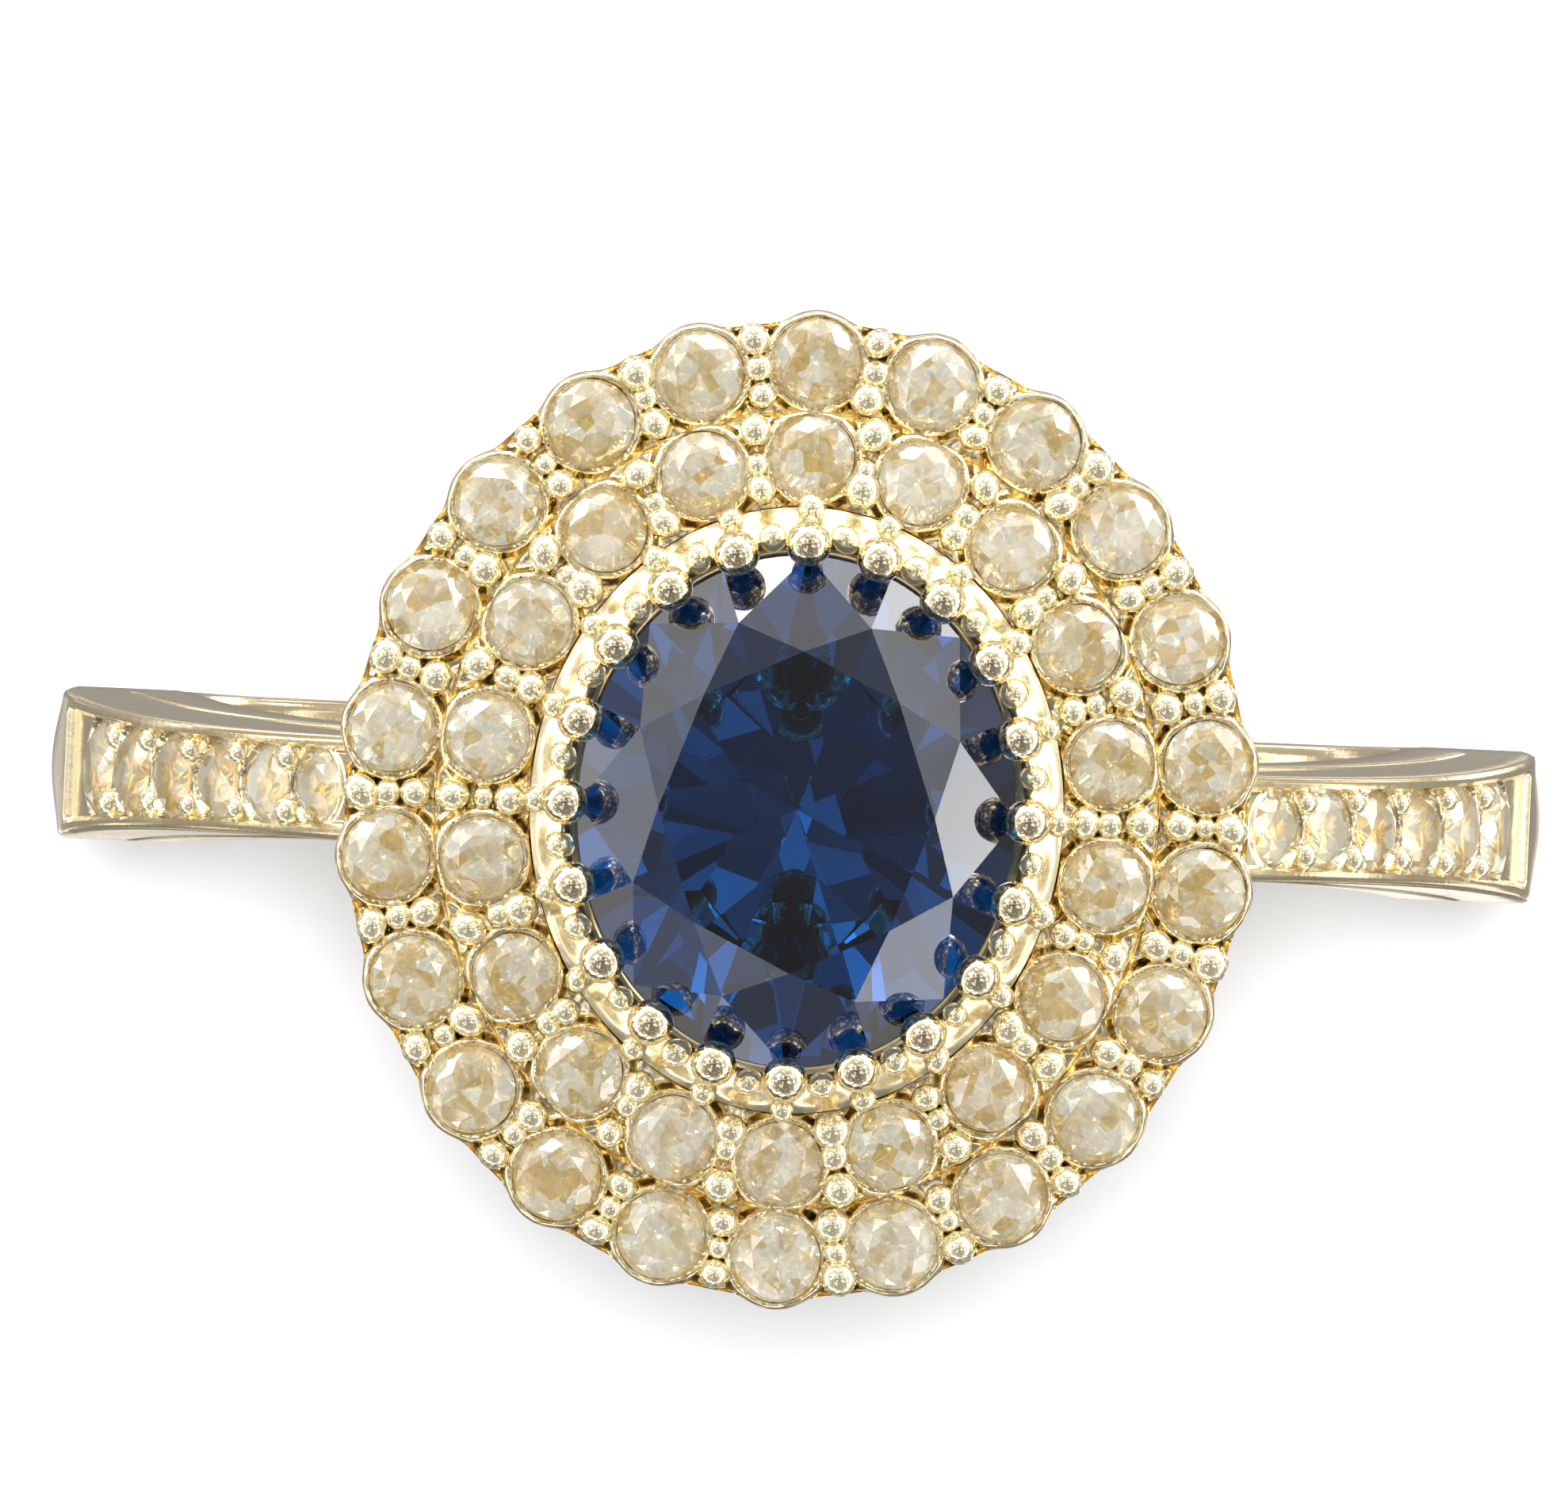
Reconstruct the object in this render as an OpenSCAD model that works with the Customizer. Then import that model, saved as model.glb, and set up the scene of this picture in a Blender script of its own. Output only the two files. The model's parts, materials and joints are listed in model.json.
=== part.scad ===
// Cluster ring: an oval centre stone in a claw collet, a double halo of round stones on a
// scalloped plate, and a band whose arms rise to the halo with a row of stones down each one.
// The origin is the centre of the finger bore, +Y runs along the finger and +Z points out
// through the head. All sizes are in millimetres.

/* [Finger] */
// Diameter of the finger bore
finger_d = 17.3; // [14:0.1:22]

/* [Band] */
// Wall of the band at its base, opposite the head
base_wall = 1.5; // [1.2:0.05:2.2]
// Wall of the band at its sides, where the shoulders start
side_wall = 1.85; // [1.6:0.05:2.6]
// Wall of the thinner stretch that runs under the shoulders and the head
top_wall = 1.05; // [0.8:0.05:1.3]
// Width of the band at its base
base_w = 1.5; // [1.3:0.1:3]
// Width of the band and the shoulders at the sides
side_w = 2.1; // [1.9:0.1:3.2]
// Radius of the rounding across the outside of the band
crown_r = 2.6; // [2.2:0.1:6]

/* [Shoulders] */
// Width of a shoulder where it meets the head
neck_w = 1.45; // [1.3:0.05:1.8]
// Height over which a shoulder widens from the head down to the sides
flare_h = 8; // [5:0.5:9]
// Thickness of a shoulder arm, from its outer face to its inner one
arm_wall = 1.5; // [1.2:0.05:2]
// Distance from the halo's side edge in to where an arm's outer face meets its underside
arm_inset = 0.35; // [0.2:0.05:0.8]
// Width of the raised rail along each side of a shoulder
rail_w = 0.2; // [0.15:0.01:0.26]
// Depth of the stone channel between the two rails
channel_depth = 0.12; // [0.08:0.01:0.2]
// Diameter of the shoulder stone next to the head
shoulder_stone_small = 1; // [0.8:0.05:1.05]
// Diameter of the shoulder stone at the outer end
shoulder_stone_large = 1.4; // [1.1:0.05:1.5]
// Gap between neighbouring shoulder stones
shoulder_stone_gap = 0.14; // [0.1:0.01:0.3]
// Radius of a shoulder grain
shoulder_grain_r = 0.16; // [0.12:0.01:0.2]

/* [Centre stone] */
// Length of the centre stone along the finger
centre_l = 7; // [5:0.1:8.4]
// Width of the centre stone across the finger
centre_w = 6; // [4.5:0.1:7.4]
// Height of its crown above the girdle
centre_crown = 1; // [0.8:0.05:1.3]
// Depth of its pavilion below the girdle
centre_pavilion = 2.6; // [2:0.05:3]
// Height of its girdle above the halo's outer tier
centre_rise = 0.85; // [0.6:0.05:1.4]

/* [Claws] */
// Number of claws round the centre stone
claw_count = 20; // [12:2:22]
// Radius of a claw wire
claw_r = 0.2; // [0.16:0.01:0.24]
// Radius of the ball on a claw's tip
claw_ball_r = 0.32; // [0.25:0.01:0.34]
// How far a ball sits in towards the stone from the middle of its wire
claw_lean = 0.06; // [0:0.01:0.1]
// Gap between the girdle of the centre stone and the claw wires
claw_gap = 0.03; // [0.02:0.01:0.06]

/* [Halo] */
// Number of stones in the inner row
inner_count = 18; // [14:1:19]
// Diameter of a stone in the inner row
inner_stone_d = 1.14; // [0.9:0.02:1.3]
// Number of stones in the outer row
outer_count = 22; // [18:1:24]
// Diameter of a stone in the outer row
outer_stone_d = 1.2; // [0.9:0.02:1.3]
// Gap between the claw balls and the stones of the inner row
claw_stone_gap = 0.29; // [0.2:0.01:0.5]
// Gap between the stones of the two rows
row_gap = 0.14; // [0.1:0.01:0.3]
// Metal left outside each stone at the scalloped edge
lobe_rim = 0.11; // [0.1:0.01:0.25]
// How far the lobes stand out from the edge between them
lobe_depth = 0.18; // [0.1:0.01:0.3]
// Thickness of the outer tier
outer_tier_t = 1; // [0.8:0.05:1.4]
// How far the inner tier stands above the outer tier
tier_step = 0.22; // [0.1:0.01:0.4]
// Radius of a grain between the halo stones
halo_grain_r = 0.2; // [0.15:0.01:0.22]
// Depth of the stones' girdles below the face that they are set in
set_depth = 0.06; // [0.04:0.01:0.1]

/* [Under the head] */
// Height of the halo's underside above the finger bore
head_lift = 2.6; // [2.2:0.1:5]
// Height of the gallery rail
gallery_h = 0.5; // [0.4:0.05:0.7]
// Width of the gallery rail
gallery_w = 0.6; // [0.5:0.05:0.8]
// Thickness of a gallery rib
rib_t = 0.5; // [0.4:0.05:0.8]
// Wall of the head base
base_skirt_w = 0.6; // [0.5:0.05:0.8]
// Height of the collet's lower rail, and of the part of its upper rail that is inside the halo
collet_rail_h = 0.4; // [0.3:0.05:0.5]

/* [Hidden] */
$fn = 180;
eps = 0.01;
far = 60;

// Running clearances between pieces that are set or soldered together
seat_gap = 0.02;
solder_gap = 0.01;

// Proportions of a round brilliant, as shares of its diameter
crown_share = 0.15;
pavilion_share = 0.43;
table_share = 0.58;
girdle_share = 0.03;

GOLD = [0.87, 0.76, 0.47];
DIAMOND = [0.93, 0.88, 0.74];
SAPPHIRE = [0.06, 0.15, 0.42];

// Band
finger_r = finger_d / 2;
top_r = finger_r + top_wall;
side_r = finger_r + side_wall;
base_r = finger_r + base_wall;
// The outside of the band is a circle whose centre is lifted, so that the base is thinner
crown_lift = (pow(side_r, 2) - pow(base_r, 2)) / (2 * base_r);
crown_out_r = base_r + crown_lift;

// Centre stone and claws
girdle_t = 0.14;
// Its facets, as shares of its half width: the table, the star points and the pavilion points
table_r = 0.62;
star_r = 0.78;
keel_r = 0.3;
// Points round its girdle, a multiple of 16
girdle_n = 64;
// Flat sides round the skirt under the collet
skirt_sides = 64;
// How far the collet's upper rail ends below the girdle of the centre stone
rail_drop = 0.25;
claw_x = centre_w / 2 + claw_gap + claw_r;
claw_y = centre_l / 2 + claw_gap + claw_r;

// Rows of the halo
inner_x = claw_x - claw_lean + claw_ball_r + claw_stone_gap + inner_stone_d / 2;
inner_y = claw_y - claw_lean + claw_ball_r + claw_stone_gap + inner_stone_d / 2;
row_pitch = inner_stone_d / 2 + row_gap + outer_stone_d / 2;
outer_x = inner_x + row_pitch;
outer_y = inner_y + row_pitch;
joint_x = inner_x + inner_stone_d / 2 + row_gap / 2;
joint_y = inner_y + inner_stone_d / 2 + row_gap / 2;
lobe_r = outer_stone_d / 2 + lobe_rim;
edge_x = outer_x + lobe_r - lobe_depth;
edge_y = outer_y + lobe_r - lobe_depth;
hole_x = inner_x - inner_stone_d / 2 - lobe_rim;
hole_y = inner_y - inner_stone_d / 2 - lobe_rim;
grain_reach_in = inner_stone_d / 2 - halo_grain_r + 0.02;
grain_reach_out = outer_stone_d / 2 - halo_grain_r + 0.02;

// Levels
halo_z = finger_r + head_lift;
outer_top_z = halo_z + outer_tier_t;
inner_top_z = outer_top_z + tier_step;
girdle_z = outer_top_z + centre_rise;
gallery_z = halo_z - gallery_h;
upper_rail_z = inner_top_z - collet_rail_h;
upper_rail_h = girdle_z - rail_drop - upper_rail_z;
base_top_z = girdle_z - centre_pavilion + 0.15;
claw_foot_z = base_top_z + collet_rail_h;
ball_z = girdle_z + claw_ball_r + 0.03;

// Shoulder arms: arcs about a centre on the far side of the finger, level with its axis
arm_top_x = edge_x + lobe_depth - arm_inset;
arm_back = (pow(arm_top_x, 2) + pow(halo_z, 2) - pow(side_r, 2)) / (2 * (side_r - arm_top_x));
arm_out_r = side_r + arm_back;
arm_in_r = arm_out_r - arm_wall;
channel_foot = 10;
row_top_x = edge_x + lobe_depth + 0.02;
row_top = acos((row_top_x + arm_back) / arm_out_r);
row_len = (row_top - channel_foot) * PI / 180 * arm_out_r;
mean_pitch = (shoulder_stone_small + shoulder_stone_large) / 2 + shoulder_stone_gap;
shoulder_count = floor(row_len / mean_pitch);
// The sides of a shoulder are hollowed by circles, so that it is narrowest at the halo
flare_r = (pow(flare_h, 2) + pow((side_w - neck_w) / 2, 2)) / (side_w - neck_w);
neck_z = halo_z - 1;

function two(k) = k < 10 ? str("0", k) : str(k);
outer_names = [for (i = [1:outer_count]) str("halo_diamond_outer_", two(i))];
inner_names = [for (i = [1:inner_count]) str("halo_diamond_inner_", two(i))];
METAL = [
    "shank_band", "left_shoulder", "right_shoulder", "head_base", "gallery_rail", "gallery_ribs",
    "collet_lower_rail", "collet_upper_rail", "claws", "halo_inner_tier", "halo_outer_tier",
    "outer_edge_grains", "outer_row_grains", "inner_row_grains", "inner_edge_grains",
    "left_shoulder_grains", "right_shoulder_grains"
];
STONES = ["centre_sapphire", "left_shoulder_diamonds", "right_shoulder_diamonds"];

// Places on an oval: an even turn from +Y, starting half a step on where half is 1
function turn(i, count, half = 0) = 90 - 360 * (i + half / 2) / count;
function on_oval(x, y, a) = [x * cos(a), y * sin(a), 0];
// Shoulder stones, counted from the head: diameter, distance along the arm, angle on the arc
function shoulder_d(k) =
    shoulder_stone_small + (shoulder_stone_large - shoulder_stone_small) * k / (shoulder_count - 1);
function shoulder_s(k) =
    k == 0
        ? shoulder_d(0) / 2
        : shoulder_s(k - 1) + (shoulder_d(k - 1) + shoulder_d(k)) / 2 + shoulder_stone_gap;
function shoulder_a(k) = row_top - shoulder_s(k) / arm_out_r * 180 / PI;
// Half the width of a shoulder at height z, and the height of a point on its arc
function arc_z(a, r = arm_out_r) = r * sin(a);
function half_w(z) =
    min(side_w / 2, neck_w / 2 + flare_r - sqrt(pow(flare_r, 2) - pow(min(flare_h, abs(neck_z - z)), 2)));

// An oval of four tangent arcs, a across and b along, where a and b are its half sizes
module oval(a, b) {
    long = max(a, b);
    short = min(a, b);
    if (long - short < eps) {
        circle(r = long);
    } else {
        tip_r = pow(short, 2) / long + (long - short) * 0.15;
        side = (pow(short, 2) + pow(long, 2) - 2 * long * tip_r) / (2 * (short - tip_r));
        tip_c = long - tip_r;
        side_c = side - short;
        meet = tip_c * side / (side - tip_r);
        rotate(a > b ? 90 : 0) {
            intersection() {
                translate([side_c, 0]) circle(r = side);
                translate([-side_c, 0]) rotate(180) circle(r = side);
                square([2 * long, 2 * meet], center = true);
            }
            for (s = [-1, 1])
                translate([0, s * tip_c]) circle(r = tip_r);
        }
    }
}

// A flat oval ring from its inner half sizes to its outer ones
module oval_ring(in_x, in_y, out_x, out_y, z, h) {
    translate([0, 0, z]) linear_extrude(h) difference() {
        oval(out_x, out_y);
        oval(in_x, in_y);
    }
}

// A round brilliant of diameter d, with its girdle at the origin
module brilliant(d) {
    g = girdle_share * d / 2;
    rotate_extrude($fn = 48) polygon([
        [0, -pavilion_share * d],
        [d / 2, -g],
        [d / 2, g],
        [table_share * d / 2, crown_share * d],
        [0, crown_share * d]
    ]);
}

// What is cut from the metal to seat a brilliant: its own shape below, and open above
module seat(d, open = 1) {
    r = d / 2 + seat_gap;
    rotate_extrude($fn = 48) polygon([
        [0, -pavilion_share * d - seat_gap * 2],
        [r, -girdle_share * d / 2],
        [r, open],
        [0, open]
    ]);
}

// A grain: a dome that stands on the face at the origin
module grain(r) {
    rotate_extrude($fn = 32) intersection() {
        circle(r = r);
        square(r);
    }
}

// The width of the ring seen along X, with less taken from both sides
module side_outline(less = 0) {
    difference() {
        polygon([
            [-side_w / 2 + less, 0],
            [-base_w / 2 + less, -base_r - 1],
            [base_w / 2 - less, -base_r - 1],
            [side_w / 2 - less, 0],
            [side_w / 2 - less, halo_z + 1],
            [-side_w / 2 + less, halo_z + 1]
        ]);
        for (s = [-1, 1])
            translate([s * (neck_w / 2 - less + flare_r), neck_z]) circle(r = flare_r, $fn = 720);
    }
}

module ring_width(less = 0) {
    rotate([90, 0, 90]) linear_extrude(far, center = true) side_outline(less);
}

module along_finger(r, h = far) {
    rotate([90, 0, 0]) cylinder(r = r, h = h, center = true, $fn = 360);
}

module shank_band() {
    color(GOLD) difference() {
        intersection() {
            union() {
                intersection() {
                    translate([0, 0, crown_lift]) rotate([90, 0, 0]) rotate_extrude($fn = 360)
                        intersection() {
                            translate([crown_out_r - crown_r, 0]) circle(r = crown_r, $fn = 96);
                            translate([finger_r - 1, -side_w / 2]) square([side_wall + 2, side_w]);
                        }
                    translate([0, 0, -far / 2]) cube(far, center = true);
                }
                along_finger(top_r, side_w);
            }
            ring_width();
        }
        along_finger(finger_r);
    }
}

// One arm on the +X side: an arc above the sides, on the band and under the halo
module arm_blank() {
    intersection() {
        difference() {
            translate([-arm_back, 0, 0]) along_finger(arm_out_r, side_w);
            along_finger(top_r + solder_gap);
            arm_inside();
            arm_channel();
        }
        ring_width();
        translate([0, -far / 2, solder_gap]) cube([far, far, halo_z - 2 * solder_gap]);
    }
}

// Open space inside an arm, which starts where the arm leaves the band
module arm_inside() {
    translate([-arm_back, 0, 0]) along_finger(arm_in_r);
}

// The channel for the stones: a shallow cut between the rails, from its foot to the halo
module arm_channel() {
    intersection() {
        difference() {
            translate([-arm_back, 0, 0]) along_finger(arm_out_r + 1);
            translate([-arm_back, 0, 0]) along_finger(arm_out_r - channel_depth);
        }
        ring_width(rail_w);
        translate([0, -far / 2, arc_z(channel_foot)]) cube(far);
    }
}

// Puts its children on the arm's channel floor at angle a, with +Z pointing outwards
module on_arm(a) {
    translate([-arm_back, 0, 0]) rotate([0, 90 - a, 0]) translate([0, 0, arm_out_r - channel_depth])
        children();
}

module shoulder() {
    color(GOLD) difference() {
        arm_blank();
        translate([0, 0, gallery_z - solder_gap]) linear_extrude(far)
            oval(joint_x + gallery_w / 2 + solder_gap, joint_y + gallery_w / 2 + solder_gap);
        for (k = [0:shoulder_count - 1])
            on_arm(shoulder_a(k)) translate([0, 0, -set_depth]) seat(shoulder_d(k));
    }
}

module right_shoulder() {
    shoulder();
}

module left_shoulder() {
    mirror([1, 0, 0]) shoulder();
}

module shoulder_diamonds() {
    color(DIAMOND)
        for (k = [0:shoulder_count - 1])
            on_arm(shoulder_a(k)) translate([0, 0, -set_depth]) brilliant(shoulder_d(k));
}

module right_shoulder_diamonds() {
    shoulder_diamonds();
}

module left_shoulder_diamonds() {
    mirror([1, 0, 0]) shoulder_diamonds();
}

// Grains stand in pairs on the channel floor, between neighbouring stones, against the rails
module shoulder_grains() {
    color(GOLD)
        for (k = [0:shoulder_count - 2]) {
            a = (shoulder_a(k) + shoulder_a(k + 1)) / 2;
            y = half_w(arc_z(a)) - rail_w - shoulder_grain_r;
            for (s = [-1, 1])
                on_arm(a) translate([0, s * y, 0]) grain(shoulder_grain_r);
        }
}

module right_shoulder_grains() {
    shoulder_grains();
}

module left_shoulder_grains() {
    mirror([1, 0, 0]) shoulder_grains();
}

// The outline of the skirt: an ellipse with flat sides, a across and b along
module sided_oval(a, b) {
    polygon([for (i = [0:skirt_sides - 1]) [a * cos(360 * i / skirt_sides), b * sin(360 * i / skirt_sides)]]);
}

// The skirt under the collet, with its foot cut to the round of the band
module head_base() {
    out_x = claw_x + claw_r;
    out_y = claw_y + claw_r;
    color(GOLD) difference() {
        translate([0, 0, finger_r - 1]) linear_extrude(base_top_z - finger_r + 1) difference() {
            sided_oval(out_x, out_y);
            sided_oval(out_x - base_skirt_w, out_y - base_skirt_w);
        }
        along_finger(top_r + solder_gap);
    }
}

module gallery_rail() {
    color(GOLD) oval_ring(
        joint_x - gallery_w / 2, joint_y - gallery_w / 2,
        joint_x + gallery_w / 2, joint_y + gallery_w / 2,
        gallery_z, gallery_h
    );
}

// Struts from the skirt out to the gallery rail, two in each quarter
module gallery_ribs() {
    rib_z = gallery_z - gallery_h;
    color(GOLD) intersection() {
        for (q = [0:3])
            for (a = [30, 60])
                rotate(90 * q + a) translate([0, -rib_t / 2, rib_z]) cube([far, rib_t, 2 * gallery_h]);
        difference() {
            translate([0, 0, rib_z]) linear_extrude(2 * gallery_h) difference() {
                oval(joint_x - gallery_w / 2 - solder_gap, joint_y - gallery_w / 2 - solder_gap);
                sided_oval(claw_x + claw_r + solder_gap, claw_y + claw_r + solder_gap);
            }
            along_finger(top_r + solder_gap);
        }
    }
}

module collet_lower_rail() {
    color(GOLD) oval_ring(
        claw_x - 2 * claw_r, claw_y - 2 * claw_r,
        claw_x + claw_r, claw_y + claw_r,
        base_top_z, collet_rail_h
    );
}

module collet_upper_rail() {
    color(GOLD) difference() {
        oval_ring(claw_x, claw_y, hole_x - solder_gap, hole_y - solder_gap, upper_rail_z, upper_rail_h);
        for (i = [0:claw_count - 1])
            translate(on_oval(claw_x, claw_y, turn(i, claw_count)) + [0, 0, upper_rail_z - 1])
                cylinder(r = claw_r + solder_gap, h = 3, $fn = 32);
    }
}

module claws() {
    color(GOLD)
        for (i = [0:claw_count - 1]) {
            a = turn(i, claw_count);
            wire = on_oval(claw_x, claw_y, a);
            translate(wire + [0, 0, claw_foot_z])
                cylinder(r = claw_r, h = ball_z - claw_foot_z, $fn = 32);
            translate(wire - on_oval(claw_lean, claw_lean, a) + [0, 0, ball_z])
                sphere(r = claw_ball_r, $fn = 32);
        }
}

module halo_inner_tier() {
    color(GOLD) difference() {
        oval_ring(
            hole_x, hole_y, joint_x - solder_gap, joint_y - solder_gap,
            halo_z, inner_top_z - halo_z
        );
        for (i = [0:inner_count - 1])
            translate(on_oval(inner_x, inner_y, turn(i, inner_count)) + [0, 0, inner_top_z]) {
                translate([0, 0, -set_depth]) seat(inner_stone_d);
                translate([0, 0, -far / 2]) cylinder(r = inner_stone_d / 4, h = far / 2);
            }
    }
}

module halo_outer_tier() {
    color(GOLD) difference() {
        translate([0, 0, halo_z]) linear_extrude(outer_tier_t) difference() {
            union() {
                oval(edge_x, edge_y);
                for (i = [0:outer_count - 1])
                    translate(on_oval(outer_x, outer_y, turn(i, outer_count)))
                        circle(r = lobe_r, $fn = 48);
            }
            oval(joint_x, joint_y);
        }
        for (i = [0:outer_count - 1])
            translate(on_oval(outer_x, outer_y, turn(i, outer_count)) + [0, 0, outer_top_z]) {
                translate([0, 0, -set_depth]) seat(outer_stone_d);
                translate([0, 0, -far / 2]) cylinder(r = outer_stone_d / 4, h = far / 2);
            }
    }
}

// A ring of grains on one face of the halo, midway between the stones of a row
module grain_row(x, y, z, count) {
    color(GOLD)
        for (i = [0:count - 1])
            translate(on_oval(x, y, turn(i, count, 1)) + [0, 0, z]) grain(halo_grain_r);
}

module outer_edge_grains() {
    grain_row(edge_x - halo_grain_r, edge_y - halo_grain_r, outer_top_z, outer_count);
}

module outer_row_grains() {
    grain_row(outer_x - grain_reach_out, outer_y - grain_reach_out, outer_top_z, outer_count);
}

module inner_row_grains() {
    grain_row(inner_x + grain_reach_in, inner_y + grain_reach_in, inner_top_z, inner_count);
}

module inner_edge_grains() {
    grain_row(inner_x - grain_reach_in, inner_y - grain_reach_in, inner_top_z, inner_count);
}

// A corner of the oval brilliant: at radius r and angle a on a unit circle, then stretched to
// the stone's half sizes, at its real height z. Planes stay planes when they are stretched.
function stone_point(r, a, z) = [r * cos(a) * centre_w / 2, r * sin(a) * centre_l / 2, z];
// Height at a girdle point between a main line and the middle line beside it, where the
// facet that runs up to [r, z] passes over the round of the girdle
function dip(a, r, z, g) =
    let (
        b = (a % 45 + 45) % 45,
        off = abs(b < 22.5 ? b - 11.25 : b - 33.75),
        chord = cos(11.25),
        run = chord - r * cos(11.25)
    )
    g + (z - g) * (chord - cos(off)) / run;

module centre_sapphire() {
    g = girdle_t / 2;
    steps = [0:girdle_n - 1];
    star_z = g + (1 - star_r * cos(22.5)) * (centre_crown - g) / (1 - table_r);
    keel_z = -centre_pavilion + keel_r * cos(22.5) * (centre_pavilion - g);
    points = concat(
        [for (k = [0:7]) stone_point(table_r, 45 * k, centre_crown)],
        [for (k = [0:7]) stone_point(star_r, 45 * k + 22.5, star_z)],
        [for (j = steps) stone_point(1, j * 360 / girdle_n, dip(j * 360 / girdle_n, star_r, star_z, g))],
        [for (j = steps) stone_point(1, j * 360 / girdle_n, dip(j * 360 / girdle_n, keel_r, keel_z, -g))],
        [for (k = [0:7]) stone_point(keel_r, 45 * k + 22.5, keel_z)],
        [[0, 0, -centre_pavilion]]
    );
    top = 16;
    low = top + girdle_n;
    keel = low + girdle_n;
    culet = keel + 8;
    half = girdle_n / 16;
    function up(j) = top + (j + girdle_n) % girdle_n;
    function down(j) = low + (j + girdle_n) % girdle_n;
    faces = concat(
        [[for (k = [7:-1:0]) k]],
        [for (k = [0:7]) [k, (k + 1) % 8, 8 + k]],
        [for (k = [0:7]) [k, 8 + k, up(2 * half * k), 8 + (k + 7) % 8]],
        [for (k = [0:7], j = [0:half - 1]) [8 + k, up(2 * half * k + j + 1), up(2 * half * k + j)]],
        [for (k = [0:7], j = [half:2 * half - 1]) [8 + k, up(2 * half * k + j + 1), up(2 * half * k + j)]],
        [for (j = steps) [up(j), up(j + 1), down(j + 1), down(j)]],
        [for (k = [0:7], j = [0:2 * half - 1])
            [keel + k, down(2 * half * k + j), down(2 * half * k + j + 1)]],
        [for (k = [0:7]) [culet, keel + (k + 7) % 8, down(2 * half * k), keel + k]]
    );
    color(SAPPHIRE) translate([0, 0, girdle_z]) polyhedron(points, faces, convexity = 4);
}

module halo_diamond_inner(i) {
    color(DIAMOND)
        translate(on_oval(inner_x, inner_y, turn(i, inner_count)) + [0, 0, inner_top_z - set_depth])
            brilliant(inner_stone_d);
}

module halo_diamond_outer(i) {
    color(DIAMOND)
        translate(on_oval(outer_x, outer_y, turn(i, outer_count)) + [0, 0, outer_top_z - set_depth])
            brilliant(outer_stone_d);
}

shank_band();
left_shoulder();
right_shoulder();
head_base();
gallery_rail();
gallery_ribs();
collet_lower_rail();
collet_upper_rail();
claws();
halo_inner_tier();
halo_outer_tier();
outer_edge_grains();
outer_row_grains();
inner_row_grains();
inner_edge_grains();
left_shoulder_grains();
right_shoulder_grains();
centre_sapphire();
left_shoulder_diamonds();
right_shoulder_diamonds();
for (i = [0:inner_count - 1])
    halo_diamond_inner(i);
for (i = [0:outer_count - 1])
    halo_diamond_outer(i);
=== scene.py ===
import json
import math
import random

import bmesh
import bpy
import numpy as np
from bpy.props import FloatProperty, FloatVectorProperty, IntProperty, PointerProperty
from mathutils import Matrix, Vector, noise


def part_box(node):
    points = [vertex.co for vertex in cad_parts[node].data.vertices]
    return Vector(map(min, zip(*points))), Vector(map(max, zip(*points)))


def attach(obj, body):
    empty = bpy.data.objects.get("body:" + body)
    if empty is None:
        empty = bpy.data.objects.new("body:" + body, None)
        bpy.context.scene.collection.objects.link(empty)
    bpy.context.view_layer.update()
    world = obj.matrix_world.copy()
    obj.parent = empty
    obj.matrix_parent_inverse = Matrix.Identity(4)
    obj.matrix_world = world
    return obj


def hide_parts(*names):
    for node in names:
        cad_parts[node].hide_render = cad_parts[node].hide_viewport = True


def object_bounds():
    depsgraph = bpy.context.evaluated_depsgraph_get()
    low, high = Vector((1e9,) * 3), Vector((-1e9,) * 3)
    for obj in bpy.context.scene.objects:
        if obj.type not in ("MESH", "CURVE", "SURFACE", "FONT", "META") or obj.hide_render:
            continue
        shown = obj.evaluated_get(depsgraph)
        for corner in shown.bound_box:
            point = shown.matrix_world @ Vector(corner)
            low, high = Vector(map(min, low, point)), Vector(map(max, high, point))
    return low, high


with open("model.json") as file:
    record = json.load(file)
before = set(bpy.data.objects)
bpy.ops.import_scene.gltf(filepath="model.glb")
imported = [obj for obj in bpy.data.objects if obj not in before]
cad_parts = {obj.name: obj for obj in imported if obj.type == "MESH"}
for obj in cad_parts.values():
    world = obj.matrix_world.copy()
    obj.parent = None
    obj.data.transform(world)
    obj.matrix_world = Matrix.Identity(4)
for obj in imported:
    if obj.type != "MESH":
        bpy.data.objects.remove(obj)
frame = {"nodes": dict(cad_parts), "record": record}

CAD_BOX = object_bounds()

bl_info = {
    "name": "Cluster Ring",
    "version": (1, 0, 0),
    "blender": (4, 5, 0),
    "location": "View3D > Sidebar > Ring",
    "description": "Finishes a cluster ring: cut stones, set metal, claws, grains and a studio",
    "category": "Add Mesh",
}

# One millimetre in scene units. Shapes are worked out in millimetres and placed in metres.
MM = 0.001
# Farther than any seat reaches, in millimetres
FAR = 9.0
# Edges that turn by more than this are facet edges
FACET_EDGE = math.radians(2)
# Main facets round a brilliant's crown
MAINS = 8
# Sides of a round stone's girdle, and its thickness as a share of the radius
ROUND_SIDES = 32
ROUND_GIRDLE = 0.06
# Waves in the set metal: turns per millimetre and height
WAVE_TURNS = 4.5
WAVE_HEIGHT = 0.035


# ---- Sizes read from the frame, in millimetres ----


def box_mm(node):
    """The lowest and highest corner of a CAD node, in millimetres."""
    low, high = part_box(node)
    return np.array(low) / MM, np.array(high) / MM


def numbered(stem):
    """The CAD nodes of a numbered row, in order."""
    return sorted(n for n in frame["nodes"] if n.startswith(stem))


OUTER_ROW = numbered("halo_diamond_outer_")
INNER_ROW = numbered("halo_diamond_inner_")


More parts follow.
